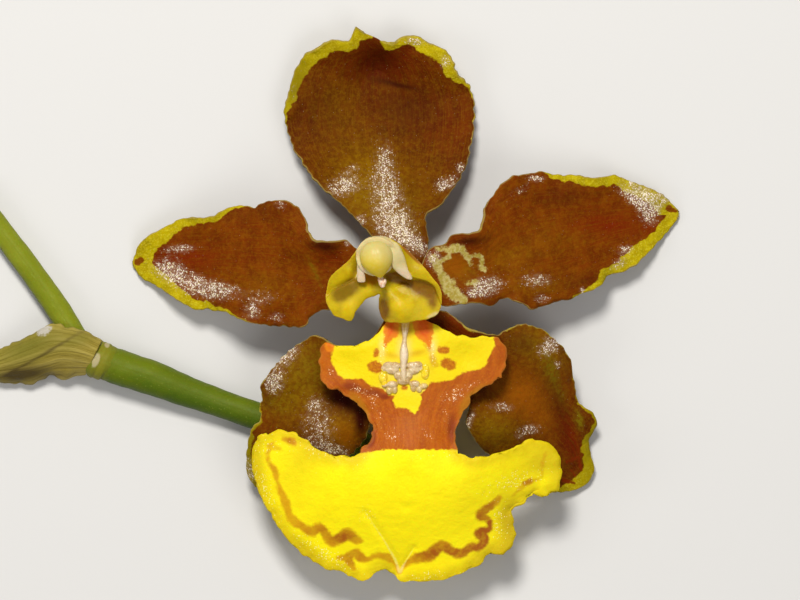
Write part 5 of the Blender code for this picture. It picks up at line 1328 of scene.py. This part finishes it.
def melt(shapes, voxel, rounds):
    """Melts closed shapes into one grown skin: points, faces."""
    mesh = bpy.data.meshes.new("melting")
    all_points, all_faces, start = [], [], 0
    for points, faces in shapes:
        for group in outward(points, faces):
            all_faces += (group + start).tolist()
        all_points.append(points)
        start += len(points)
    mesh.from_pydata(np.concatenate(all_points).tolist(), [], all_faces)
    item = bpy.data.objects.new("melting", mesh)
    bpy.context.scene.collection.objects.link(item)
    remesh = item.modifiers.new("skin", "REMESH")
    remesh.mode = "VOXEL"
    remesh.voxel_size = voxel
    soften = item.modifiers.new("soften", "SMOOTH")
    soften.factor = 0.5
    soften.iterations = rounds
    done = item.evaluated_get(bpy.context.evaluated_depsgraph_get()).to_mesh()
    points = np.empty(len(done.vertices) * 3)
    done.vertices.foreach_get("co", points)
    corners = np.empty(len(done.loops), dtype=np.int32)
    done.loops.foreach_get("vertex_index", corners)
    sizes = np.empty(len(done.polygons), dtype=np.int32)
    done.polygons.foreach_get("loop_total", sizes)
    starts = np.concatenate([[0], np.cumsum(sizes)[:-1]])
    faces = []
    for size in np.unique(sizes):
        faces.append(corners[starts[sizes == size][:, None] + np.arange(size)[None]])
    bpy.data.objects.remove(item, do_unlink=True)
    return points.reshape(-1, 3), faces


# Crest of the lip: x, y, height, half sizes, cream or yellow (1 or 0).
KNOBS = [
    (-0.72, -6.85, 9.72, 0.5, 0.34, 0.26, 1), (-1.3, -6.8, 9.68, 0.52, 0.32, 0.26, 1),
    (-0.95, -7.25, 9.66, 0.62, 0.4, 0.28, 1), (-1.65, -7.15, 9.56, 0.36, 0.4, 0.24, 1),
    (0.8, -6.85, 9.72, 0.5, 0.34, 0.26, 1), (1.3, -6.75, 9.68, 0.48, 0.3, 0.26, 1),
    (0.95, -7.25, 9.66, 0.58, 0.4, 0.28, 1), (1.55, -7.1, 9.56, 0.36, 0.36, 0.24, 1),
    (-0.45, -7.75, 9.6, 0.4, 0.4, 0.24, 1), (0.5, -7.75, 9.6, 0.4, 0.4, 0.24, 1),
    (0.05, -8.25, 9.6, 0.6, 0.36, 0.26, 1),
    (-1.6, -8.6, 9.46, 0.36, 0.28, 0.28, 1), (-1.25, -9.1, 9.42, 0.3, 0.4, 0.26, 1),
    (-0.75, -9.0, 9.46, 0.28, 0.42, 0.28, 1), (-0.95, -8.55, 9.54, 0.5, 0.34, 0.28, 1),
    (1.05, -8.5, 9.54, 0.5, 0.34, 0.28, 1), (0.95, -8.9, 9.44, 0.3, 0.36, 0.26, 1),
    (1.45, -9.0, 9.42, 0.3, 0.34, 0.26, 1), (1.9, -8.7, 9.42, 0.4, 0.3, 0.26, 1),
    (2.0, -7.3, 9.46, 0.45, 0.9, 0.22, 0), (-1.8, -7.9, 9.46, 0.42, 0.6, 0.2, 0),
]
# Its keel: x, y, height, radius.
CREST_KEEL = [
    (0.2, -2.6, 9.84, 0.42), (0.2, -3.1, 9.84, 0.38), (0.18, -3.7, 9.82, 0.3), (0.15, -4.4, 9.8, 0.2),
    (0.1, -4.95, 9.8, 0.26), (0.1, -5.6, 9.78, 0.4), (0.1, -6.2, 9.78, 0.38), (0.05, -6.8, 9.8, 0.3),
    (0.05, -7.5, 9.76, 0.28), (0.05, -8.3, 9.66, 0.3),
]
CREST_RUDDY = [
    (0.2, -2.9, 0.7, 0.9, 0, 1.1), (0.2, -8.75, 0.35, 0.2, 0, 1.2), (0.2, -8.2, 0.3, 0.2, 0, 0.5),
    (-1.1, -7.75, 0.3, 0.2, 0, 0.4), (1.2, -7.7, 0.3, 0.3, 0, 0.5),
]


def make_callus(material):
    shapes = [ball_shape(knob[:3], knob[3:6]) for knob in KNOBS]
    shapes.append(tube_shape(CREST_KEEL))
    points, faces = melt(shapes, voxel=0.045, rounds=12)
    x, y, z = points.T
    lumps = np.sin(8 * x + 2 * np.sin(6 * y)) * np.sin(7 * y + 2 * np.sin(7 * x))
    points[:, 2] += 0.025 * lumps * np.clip(-y - 4.5, 0, 1)
    cream = np.ones(len(points))
    for kx, ky, kz, sx, sy, sz, hue in KNOBS:
        if hue == 0:
            away = ((x - kx) / sx) ** 2 + ((y - ky) / sy) ** 2
            cream = np.where((away < 1.6) & (z < 9.75), 0.0, cream)
    cream -= 0.3 * np.clip((y + 4.6) / 0.8, 0, 1)
    item = build_mesh("lip_callus", points, faces, material,
                      {"cream": cream, "ruddy": patch_strength(x, y, CREST_RUDDY), "height": z - 9.5})
    return dress(item, ["lip"])


def shell_shape(centre, axis, radius, thickness, tilt_limit, rows=22, sides=48):
    """A bowl round centre, open on the far side from axis: points, faces."""
    axis = np.array(axis) / np.linalg.norm(axis)
    side = np.cross(axis, (1.0, 0, 0))
    side /= np.linalg.norm(side)
    other = np.cross(axis, side)
    turn = np.arange(sides) * 2 * np.pi / sides
    layers = []
    for reach in (radius, radius - thickness):
        tilt = np.linspace(0.02, 1, rows)[:, None] * tilt_limit(turn)[None]
        layer = (np.cos(tilt)[..., None] * axis + np.sin(tilt)[..., None] * (
            np.cos(turn)[None, :, None] * side + np.sin(turn)[None, :, None] * other)) * reach
        layers.append(layer + np.array(centre))
    outer, inner = layers
    points = np.concatenate([outer.reshape(-1, 3), inner.reshape(-1, 3)])
    index, beside, quads = ring_quads(rows, sides)
    below = rows * sides
    strip = np.stack([index[-1], index[-1] + below, beside[-1] + below, beside[-1]], axis=-1)
    poles = [index[:1], index[:1, ::-1] + below]
    return points, [np.concatenate([quads, quads[:, ::-1] + below, strip])] + poles


# Column: the outline of its face, seen from above.
COLUMN_OUTLINE = [
    (-4.2, 3.6), (-4.7, 2.9), (-5.3, 2.3), (-6.2, 1.55), (-6.7, 0.9), (-6.9, 0.0), (-7.0, -0.8),
    (-6.8, -1.45), (-6.45, -2.0), (-6.2, -2.35), (-5.55, -2.55), (-4.8, -2.85), (-4.45, -2.45),
    (-4.3, -2.0), (-3.8, -1.35), (-3.3, -0.8), (-2.55, -0.55), (-2.1, -0.35), (-2.2, -0.9),
    (-2.2, -1.6), (-2.0, -2.3), (-1.6, -2.85), (-0.7, -2.95), (0.2, -3.0), (1.1, -2.8), (2.0, -2.7),
    (2.55, -2.5), (3.1, -2.2), (3.45, -1.4), (3.5, -0.5), (3.3, 0.3), (2.8, 0.9), (2.2, 1.7),
    (1.45, 2.55), (0.45, 3.55), (-0.65, 4.35), (-1.6, 4.8), (-2.4, 4.85), (-3.2, 4.7), (-3.8, 4.2),
]
# Heights of its face: x, y, z.
COLUMN_HEIGHTS = [
    (-4.2, 3.5, 13.3), (-5.0, 2.5, 12.9), (-4.5, 1.8, 12.9), (-5.8, 1.7, 12.5), (-5.2, 0.9, 12.7),
    (-6.5, 0.8, 12.1), (-6.0, 0.2, 12.3), (-4.4, 0.7, 12.6), (-6.9, -0.6, 11.8), (-6.5, -1.6, 11.8),
    (-5.4, -0.9, 12.0), (-4.7, -0.5, 12.2), (-5.0, -1.5, 12.2), (-4.7, -2.6, 11.8), (-5.9, -2.2, 11.7),
    (-4.1, -1.3, 12.1), (-3.7, -0.2, 12.1), (-3.0, -0.1, 11.9), (-2.3, 0.0, 11.7), (-3.5, 1.3, 11.7),
    (-2.5, 1.3, 11.4), (-1.3, 1.5, 11.4), (-2.4, 3.0, 12.0), (-1.0, 0.6, 11.6), (0.2, 0.7, 11.6),
    (-1.3, -0.5, 12.0), (-0.5, -1.0, 12.3), (-0.3, -1.7, 12.4), (0.7, -1.4, 12.2), (-0.3, -2.6, 11.9),
    (0.7, -2.6, 11.8), (1.6, -2.4, 11.7), (-1.35, -1.6, 11.7), (-1.75, -1.1, 11.0), (-2.1, -1.5, 10.5),
    (-1.5, -2.5, 10.8), (1.5, -0.6, 12.0), (2.3, -1.2, 12.0), (2.0, 0.2, 12.2), (3.4, -0.4, 12.6),
    (3.3, -1.5, 12.4), (2.8, -2.3, 12.0), (3.0, 0.5, 12.8), (2.2, 1.3, 13.0), (1.3, 1.7, 13.1),
    (1.2, 2.4, 13.0), (0.7, 1.2, 12.7), (0.2, 3.3, 13.3), (-0.5, 4.1, 13.5), (-1.6, 4.6, 13.7),
    (-2.4, 4.7, 13.7), (-3.3, 4.4, 13.6), (0.2, 2.2, 12.9),
]
# Folds: the skin drops by depth to the right of the line and comes back over reach.
COLUMN_FOLDS = [
    ([(-4.0, 1.5), (-4.3, 0.95), (-5.4, 0.4), (-6.2, 0.05), (-6.55, -0.35)], 0.95, 1.1),
    ([(0.7, 1.15), (2.1, 0.8), (2.75, 0.4), (3.0, -0.2)], 0.4, 1.2),
]
COLUMN_TRUNK = [(0.0, 0.0, 7.9, 1.15), (0.0, 0.0, 9.2, 1.2), (0.1, -0.5, 10.2, 1.5), (0.2, -0.9, 11.2, 1.5)]
COLUMN_BULGE = ((0.2, -0.9, 11.2), (1.9, 1.7, 0.7))      # place, half sizes
ANTHER_AT = (-2.4, 3.0, 14.0)
HOOD_RADIUS = 1.86
HOOD_SKIN = 0.5
HOOD_LOOK = (0.05, -0.34, 0.94)                          # out of the hood's mouth
# Arms beside the cap, as ribs, and where each one runs, as x, y, half width.
FLAPS = [
    [
        ((-1.5, 4.3, 13.8), (-1.0, 4.3, 13.7), (-0.5, 4.1, 13.5)),
        ((-1.1, 3.3, 14.1), (-0.55, 3.2, 13.9), (0.0, 3.2, 13.4)),
        ((-1.0, 2.2, 13.7), (-0.4, 2.3, 13.6), (0.25, 2.5, 13.2)),
        ((-0.55, 1.65, 13.3), (-0.05, 1.7, 13.3), (0.45, 1.8, 13.1)),
        ((0.1, 1.2, 13.0), (0.4, 1.2, 13.0), (0.7, 1.3, 12.9)),
        ((0.5, 0.98, 12.9), (0.68, 0.93, 12.85), (0.84, 1.0, 12.8)),
    ],
    [
        ((-4.1, 3.4, 13.5), (-3.9, 3.3, 13.7), (-3.6, 3.1, 13.7)),
        ((-4.12, 2.4, 13.3), (-3.85, 2.3, 13.4), (-3.6, 2.2, 13.4)),
        ((-4.12, 1.5, 13.0), (-3.8, 1.4, 13.1), (-3.48, 1.4, 13.0)),
        ((-4.1, 0.75, 12.8), (-3.75, 0.68, 12.85), (-3.38, 0.75, 12.8)),
    ],
]
FLAP_RUNS = [
    [(-3.85, 3.3, 0.28), (-3.85, 2.2, 0.28), (-3.78, 0.7, 0.36)],
    [(-1.1, 4.1, 0.45), (-0.5, 3.1, 0.6), (-0.25, 2.2, 0.5), (0.1, 1.6, 0.45), (0.6, 1.0, 0.2)],
]
# Its hues and its painted shade, as soft patches.
COLUMN_CREAM = [(2.8, -2.25, 0.8, 0.25, 25, 0.7)]
COLUMN_BRIGHT = [
    (-0.3, -1.7, 1.1, 1.1, 0, 1.2), (-4.9, -1.8, 0.8, 0.9, -20, 1.1), (-3.4, -0.35, 1.1, 0.35, 0, 0.9),
    (-5.4, 1.3, 1.2, 0.45, 38, 0.7),
]
# Painted shade in the hollow under the arms and down the left side of the body.
COLUMN_PAINTED_SHADE = [
    (0.0, 0.75, 1.5, 0.4, -10, 0.9), (2.0, 0.15, 1.1, 0.6, -22, 1.25), (-1.75, -1.8, 0.6, 1.3, 0, 1.2),
    (-0.9, 1.3, 0.8, 0.4, 0, 1.2), (1.3, -0.1, 1.3, 0.7, -15, 0.5), (2.7, -1.2, 0.6, 0.8, 0, 0.75),
]
# Greenish brown under the left wing's fold, partly its own hue, partly painted shade.
COLUMN_GREEN_AND_SHADE = [
    (-5.0, 0.05, 1.3, 0.75, 28, 1.15), (-5.8, -0.5, 0.8, 0.8, 0, 0.6), (-4.6, 0.7, 0.7, 0.4, 30, 0.7),
]
COLUMN_ORANGE = [(-2.9, 1.1, 0.9, 0.7, 0, 1.4)]
COLUMN_EDGE = [(0.65, 3.3, 1.3, 0.2, -45, 1.7)]

# Anther cap, round ANTHER_AT.
BEAK_END = (-1.98, 1.0, 13.8)
CAP_RADIUS = 1.5
CAP_TOP = 15.45              # level at which its back is pressed flat


def fold_drop(x, y, line, depth, reach):
    """How far the skin lies below a fold, on the right-hand side of its line only."""
    best = np.full(x.shape, 99.0)
    right = np.zeros(x.shape, dtype=bool)
    for (ax, ay), (bx, by) in zip(line[:-1], line[1:]):
        dx, dy = bx - ax, by - ay
        share = np.clip(((x - ax) * dx + (y - ay) * dy) / (dx * dx + dy * dy), 0, 1)
        away = np.hypot(x - ax - share * dx, y - ay - share * dy)
        right = np.where(away < best, dx * (y - ay) - dy * (x - ax) < 0, right)
        best = np.minimum(best, away)
    return np.where(right, depth * np.exp(-(best / reach) ** 1.5), 0.0)


def rounded(outline, steps=4):
    """Rounds the corners of a closed outline."""
    looped = outline[-2:] + outline + outline[:3]
    curve = smooth_through(looped, (len(looped) - 1) * steps + 1)
    return [tuple(point) for point in curve[2 * steps:(len(outline) + 2) * steps]]


def plate_shape(outline, spacing, height_of, thickness):
    """A closed plate over an outline, with its upper face at height_of(x, y): points, faces."""
    lows, highs = np.min(outline, axis=0), np.max(outline, axis=0)
    xs, ys = (np.arange(low, high + spacing, spacing) for low, high in zip(lows, highs))
    x, y = np.meshgrid(xs, ys)
    top = height_of(x, y)
    points = np.concatenate([
        np.stack([x, y, top - drop], axis=-1).reshape(-1, 3) for drop in (0.0, thickness)
    ])
    below = x.size
    index = np.arange(below).reshape(x.shape)
    a, b, c, d = index[:-1, :-1], index[:-1, 1:], index[1:, 1:], index[1:, :-1]
    cell = outline_distance(x[:-1, :-1] + spacing / 2, y[:-1, :-1] + spacing / 2, outline) < 0
    padded = np.pad(cell, 1)
    quads = np.stack([a, b, c, d], axis=-1)[cell]
    faces = [quads, quads[:, ::-1] + below]
    rows, columns = cell.shape
    for first, second, down, over in ((a, b, -1, 0), (b, c, 0, 1), (c, d, 1, 0), (d, a, 0, -1)):
        bare = cell & ~padded[1 + down:1 + down + rows, 1 + over:1 + over + columns]
        one, two = first[bare], second[bare]
        faces.append(np.stack([two, one, one + below, two + below], axis=-1))
    return points, [np.concatenate(faces)]


def column_height(x, y):
    height = skin_through(x, y, COLUMN_HEIGHTS)
    return height - sum(fold_drop(x, y, *fold) for fold in COLUMN_FOLDS)


def hood_reach(turn):
    """How far the hood comes round, in radians, at each turn about its mouth."""
    return 1.55 + 0.06 * np.sin(2 * turn + 1) + 0.03 * np.sin(7 * turn)


def make_column(material):
    look = np.array(HOOD_LOOK) / np.linalg.norm(HOOD_LOOK)
    shapes = [
        plate_shape(rounded(COLUMN_OUTLINE), 0.06, column_height, 0.4),
        tube_shape(COLUMN_TRUNK, 24),
        ball_shape(*COLUMN_BULGE),
        shell_shape(ANTHER_AT, -look, HOOD_RADIUS, HOOD_SKIN, hood_reach),
    ]
    shapes += [sheet_shape(blade_grid(flap, 40, 20), middle_half=0.17, margin_half=0.11) for flap in FLAPS]
    points, faces = melt(shapes, voxel=0.07, rounds=5)
    x, y, z = points.T
    ax, ay, az = ANTHER_AT
    from_anther = np.sqrt((x - ax) ** 2 + (y - ay) ** 2 + (z - az) ** 2)
    hood = np.clip(1.6 - np.maximum(from_anther - 1.8, 0) / 0.25, 0, 1) * (z > az - 1.3)
    on_flap = np.clip(1.0 - 4.0 * stroke_distance(x, y, FLAP_RUNS), 0, 1) * (z > column_height(x, y) + 0.1)
    traits = {
        "cream": np.maximum(hood, on_flap) + patch_strength(x, y, COLUMN_CREAM),
        "blush": on_flap * np.clip((2.6 - y) / 1.2, 0, 1),
        "bright": patch_strength(x, y, COLUMN_BRIGHT),
        # Painted shade, only on the lower skin below the arms and the wing's fold.
        "painted_shade": patch_strength(x, y, COLUMN_PAINTED_SHADE) * np.clip((13.1 - z) / 0.5, 0, 1),
        "green": patch_strength(x, y, COLUMN_GREEN_AND_SHADE) * np.clip((13.0 - z) / 0.5, 0, 1),
        "orange": patch_strength(x, y, COLUMN_ORANGE) * (z < 12.6),
        "edge": patch_strength(x, y, COLUMN_EDGE),
    }
    item = build_mesh("column_body", points, faces, material, traits)
    return dress(item, ["column"])


def make_anther_cap(material):
    """The cap is one round skin drawn out into a beak, with a shallow groove down its back."""
    rings, sides = 48, 72
    points, faces = ball_shape((0, 0, 0), (1, 1, 1), rings, sides)
    beak = np.array(BEAK_END) - np.array(ANTHER_AT)
    ahead = beak / np.linalg.norm(beak)
    lean = points @ ahead
    angle = np.arccos(np.clip(lean, -1, 1))
    reach = CAP_RADIUS + 0.24 * np.exp(-(angle / 0.2) ** 2) + 0.24 * np.exp(-(angle / 0.55) ** 2)
    across = points @ np.cross(ahead, (0, 0, 1.0))
    top = np.clip(points[:, 2], 0, 1)
    reach = reach - 0.05 * np.exp(-(across / 0.10) ** 2) * top * (lean < 0.2)
    low = np.clip(0.45 + 0.6 * lean - 0.25 * points[:, 0], 0, 1)
    points = points * reach[:, None] + np.array(ANTHER_AT)
    points[:, 2] = np.minimum(points[:, 2], CAP_TOP)
    item = build_mesh("anther_cap_skin", points, outward(points, faces), material, {"low": low})
    return dress(item, ["anther_cap"])


def make_pollinarium(material):
    ax, ay, az = ANTHER_AT
    strap = [
        (ax + 0.25, ay - 1.5, az - 0.8, 0.2), (ax + 0.4, ay - 2.0, az - 0.85, 0.26),
        (ax + 0.5, ay - 2.4, az - 0.8, 0.3), (ax + 0.62, ay - 2.75, az - 0.85, 0.2),
    ]
    shapes = [
        tube_shape(strap, 14),
        ball_shape((ax + 0.35, ay - 2.1, az - 0.7), (0.24, 0.2, 0.18)),
        ball_shape((ax + 0.75, ay - 2.25, az - 0.75), (0.16, 0.28, 0.16)),
    ]
    points, faces = melt(shapes, voxel=0.035, rounds=2)
    item = build_mesh("pollinarium_strap", points, faces, material)
    return dress(item, ["pollinarium"])


# Stalk, bracts and ovary


RING_X = -27.6               # middle of the ring at the joint
STALK_SCARS = [(-28.0, -6.4, 0.35, 0.75, -20, 1.0), (-27.0, -5.0, 0.3, 0.3, 0, 0.8)]
# Lobes of the stem bract's margin: x, y, reach, push in x, push in y.
BRACT_LOBES = [(-31.0, -7.6, 0.7, -0.1, -0.5), (-33.9, -8.0, 0.8, -0.1, -0.4)]
BRACT_WHITE = [(-32.7, -3.7, 0.9, 0.6, 20, 1.0)]
BRACT_GREEN = [(-34.0, -5.2, 4.0, 1.2, 20, 1.0), (-29.5, -4.6, 1.5, 0.6, 20, 0.6)]
BRACT_DRY = [
    (-32.4, -5.6, 3.6, 0.13, 28, 1.0), (-34.8, -7.6, 2.6, 0.7, 8, 1.5), (-31.6, -7.7, 1.2, 0.3, 0, 0.6),
]


def make_stalk(material):
    rows, sides = 300, 56
    points, faces = tube_shape(STALK, sides, rows)
    body = points[:-2].reshape(rows, sides, 3)
    centre = body.mean(axis=1, keepdims=True)
    along = np.linspace(0, 1, rows)[:, None] * np.ones((1, sides))
    around = np.arange(sides)[None] / sides * np.ones((rows, 1))
    relief = 0.004 * np.sin(2 * np.pi * 14 * around) + 0.015 * uneven(along + 0.1 * around, 22, 5)
    x = centre[..., 0] * np.ones((1, sides))
    past_ring = x - RING_X
    relief = relief + 0.03 * np.exp(-((past_ring + 0.45) / 0.16) ** 2)
    relief = relief - 0.04 * np.exp(-((past_ring - 0.6) / 0.14) ** 2)
    body += (body - centre) * relief[..., None]
    body[..., 2] = np.clip(body[..., 2], 0.0, None)
    flat = body.reshape(-1, 3)
    points = np.concatenate([flat, points[-2:]])
    outwards = (body - centre) / np.linalg.norm(body - centre, axis=2, keepdims=True)
    traits = {
        "along": along * 40, "around": around * 6,
        # Which way the skin faces, up and back; the colour uses it to paint light on the upper side and shade
        # on the lower.
        "above": outwards[..., 1:].sum(axis=2) / 1.3,
        "branch": np.clip((-27.9 - x) / 1.2, 0, 1),
        "ring": np.exp(-(past_ring / 0.75) ** 2),
        "scar": patch_strength(body[..., 0], body[..., 1], STALK_SCARS) * (body[..., 2] > 1.8),
    }
    traits = {k: np.concatenate([np.broadcast_to(v, (rows, sides)).reshape(-1), np.asarray(v)[[0, -1], 0]])
              for k, v in traits.items()}
    traits["cut"] = np.zeros(len(points))
    item = build_mesh("flower_stalk_skin", points, outward(points, faces), material, traits)
    item.data.set_sharp_from_angle(angle=math.radians(60))
    dress(item, ["flower_stalk"])
    for number, ring in enumerate((0, rows - 1)):
        cut_end(f"stalk_cut_{number}", body[ring], material)


def cut_end(name, ring, material):
    """A slightly domed cut face that closes an end of the stalk."""
    sides, steps = len(ring), 10
    middle = ring.mean(axis=0)
    normal = np.cross(ring[1] - ring[0], ring[sides // 4] - ring[0])
    normal /= np.linalg.norm(normal)
    if np.dot(normal[:2], middle[:2] - np.array([-15.0, -5.0])) < 0:
        normal = -normal
    shares = np.linspace(1.0, 0.03, steps)
    layers = [middle + (ring - middle) * s + normal * (0.04 + 0.05 * (1 - s * s)) for s in shares]
    back = middle + (ring - middle) * 0.98 - normal * 0.1
    points = np.concatenate([back] + layers)
    index, _, quads = ring_quads(steps + 1, sides)
    caps = [index[:1], index[-1:, ::-1]]
    steps_along = np.repeat(np.concatenate([[1.0], shares]), sides)
    turns = np.tile(np.arange(sides) / sides, steps + 1)
    zeros = np.zeros(len(points))
    item = build_mesh(name, points, outward(points, [quads] + caps), material,
                      {"along": steps_along * 8, "around": turns * 20, "branch": zeros, "ring": zeros,
                       "above": zeros, "scar": zeros, "cut": zeros + 1})
    return dress(item, ["flower_stalk"])


def make_bract(name, ribs, wave, material, rows, columns, ridges, lobes):
    """A dry scale with pleats along it. Its margin is pushed out at the lobes."""
    grid = blade_grid(ribs, rows, columns)
    wave_margins(grid, wave)
    along, across = shares_of(grid)
    sway = 1.2 * np.sin(3 * along) + 0.8 * np.sin(7 * along + 3 * across) + 1.5 * along * across
    pleat = 0.6 * np.cos(np.pi * ridges * across + sway)
    pleat = pleat + 0.4 * np.cos(np.pi * 2.3 * ridges * across + 2 * sway)
    grid[..., 2] += 0.045 * pleat * np.sin(np.pi * along) ** 0.4
    fray(grid, *BRACT_FRAY, 31)
    for x, y, reach, push_x, push_y in lobes:
        near = np.exp(-((grid[..., 0] - x) ** 2 + (grid[..., 1] - y) ** 2) / reach ** 2)
        grid[..., 0] += push_x * near
        grid[..., 1] += push_y * near
    grid[..., 2] = np.maximum(grid[..., 2], REST_LEVEL)
    x, y = grid[..., 0], grid[..., 1]
    traits = {
        "along": along, "across": across, "ridge": pleat,
        "white": patch_strength(x, y, BRACT_WHITE),
        "greenish": np.clip(patch_strength(x, y, BRACT_GREEN), 0, 1),
        "dry": patch_strength(x, y, BRACT_DRY),
    }
    shape = sheet_shape(grid, middle_half=0.2, margin_half=0.08)
    return dress(build_blade(name + "_blade", shape, material, traits), [name])


def make_pedicel(material):
    rows, sides = 90, 48
    points, faces = tube_shape(PEDICEL, sides, rows, OVARY_RIBS, OVARY_RIB_DEPTH)
    ridge = np.tile(np.cos(OVARY_RIBS * np.arange(sides) * 2 * np.pi / sides), rows)
    item = build_mesh("pedicel_skin", points, outward(points, faces), material,
                      {"ridge": np.concatenate([ridge, [0, 0]])})
    return dress(item, ["pedicel"])


# Floor, light and camera


def make_floor():
    half = 1.5
    mesh = bpy.data.meshes.new("floor")
    level = -0.00005
    mesh.from_pydata([(-half, -half, level), (half, -half, level), (half, half, level), (-half, half, level)],
                     [], [(0, 1, 2, 3)])
    material = bpy.data.materials.new("floor_paper")
    material.use_nodes = True
    shader = material.node_tree.nodes["Principled BSDF"]
    shader.inputs["Base Color"].default_value = (0.64, 0.63, 0.61, 1)
    shader.inputs["Roughness"].default_value = 0.9
    mesh.materials.append(material)
    item = bpy.data.objects.new("floor", mesh)
    bpy.context.scene.collection.objects.link(item)


def add_light(name, place, aim, size, watts, colour):
    data = bpy.data.lights.new(name, "AREA")
    data.shape = "DISK"
    data.size = size
    data.energy = watts
    data.color = colour
    item = bpy.data.objects.new(name, data)
    item.location = place
    item.visible_camera = False
    away = [p - a for p, a in zip(place, aim)]
    flat = math.hypot(away[0], away[1])
    item.rotation_euler = (math.atan2(flat, away[2]), 0, math.atan2(away[0], -away[1]))
    bpy.context.scene.collection.objects.link(item)


def make_light():
    world = bpy.data.worlds.new("studio")
    world.use_nodes = True
    world.node_tree.nodes["Background"].inputs[0].default_value = (0.93, 0.95, 1.0, 1)
    world.node_tree.nodes["Background"].inputs[1].default_value = 0.25
    bpy.context.scene.world = world
    aim = (0.004, 0.0, 0.006)
    add_light("key_light", (-0.04, 0.22, 0.40), aim, 0.12, 2.0, (1.0, 0.98, 0.94))
    add_light("fill_light", (0.20, -0.18, 0.42), aim, 0.30, 0.55, (1.0, 0.98, 0.96))
    add_light("side_light", (-0.32, -0.06, 0.25), aim, 0.20, 0.25, (1.0, 0.98, 0.96))


def make_camera():
    distance = 1.0
    frame_width = 0.0727
    flower_height = 0.007
    below = (0.00723, 0.00044)       # the point straight below the lens
    data = bpy.data.cameras.new("camera")
    data.sensor_width = 36.0
    data.lens = data.sensor_width * (distance - flower_height) / frame_width
    data.clip_start = 0.01
    data.clip_end = 10.0
    item = bpy.data.objects.new("camera", data)
    item.location = (*below, distance)
    item.rotation_euler = (0, 0, 0)
    bpy.context.scene.collection.objects.link(item)
    bpy.context.scene.camera = item


def main():
    sepal = tepal_material("sepal_skin", brown=(0.125, 0.028, 0.0005), deep=(0.08, 0.013, 0.0003),
                           olive=(0.22, 0.10, 0.001), red=(0.13, 0.018, 0.0005))
    petal = tepal_material("petal_skin", brown=(0.18, 0.036, 0.0005), deep=(0.12, 0.019, 0.0003),
                           olive=(0.25, 0.10, 0.001), red=(0.17, 0.019, 0.0005))
    for name, ribs, wave, swells, margin, seed in TEPALS:
        make_tepal(name, ribs, wave, swells, margin, seed, petal if "petal" in name else sepal)
    make_lip(lip_material())
    make_callus(callus_material())
    make_column(column_material())
    make_anther_cap(cap_material())
    make_pollinarium(pollen_material())
    make_stalk(stalk_material())
    dry = bract_material()
    make_bract("stem_bract", BRACT, BRACT_WAVE, dry, rows=120, columns=70, ridges=4.5, lobes=BRACT_LOBES)
    make_bract("floral_bract", FLORAL_BRACT, NO_WAVE, dry, rows=50, columns=30, ridges=3.0, lobes=[])
    make_pedicel(ovary_material())
    make_floor()
    make_light()
    make_camera()
    view = bpy.context.scene.view_settings
    view.view_transform = "Standard"


main()
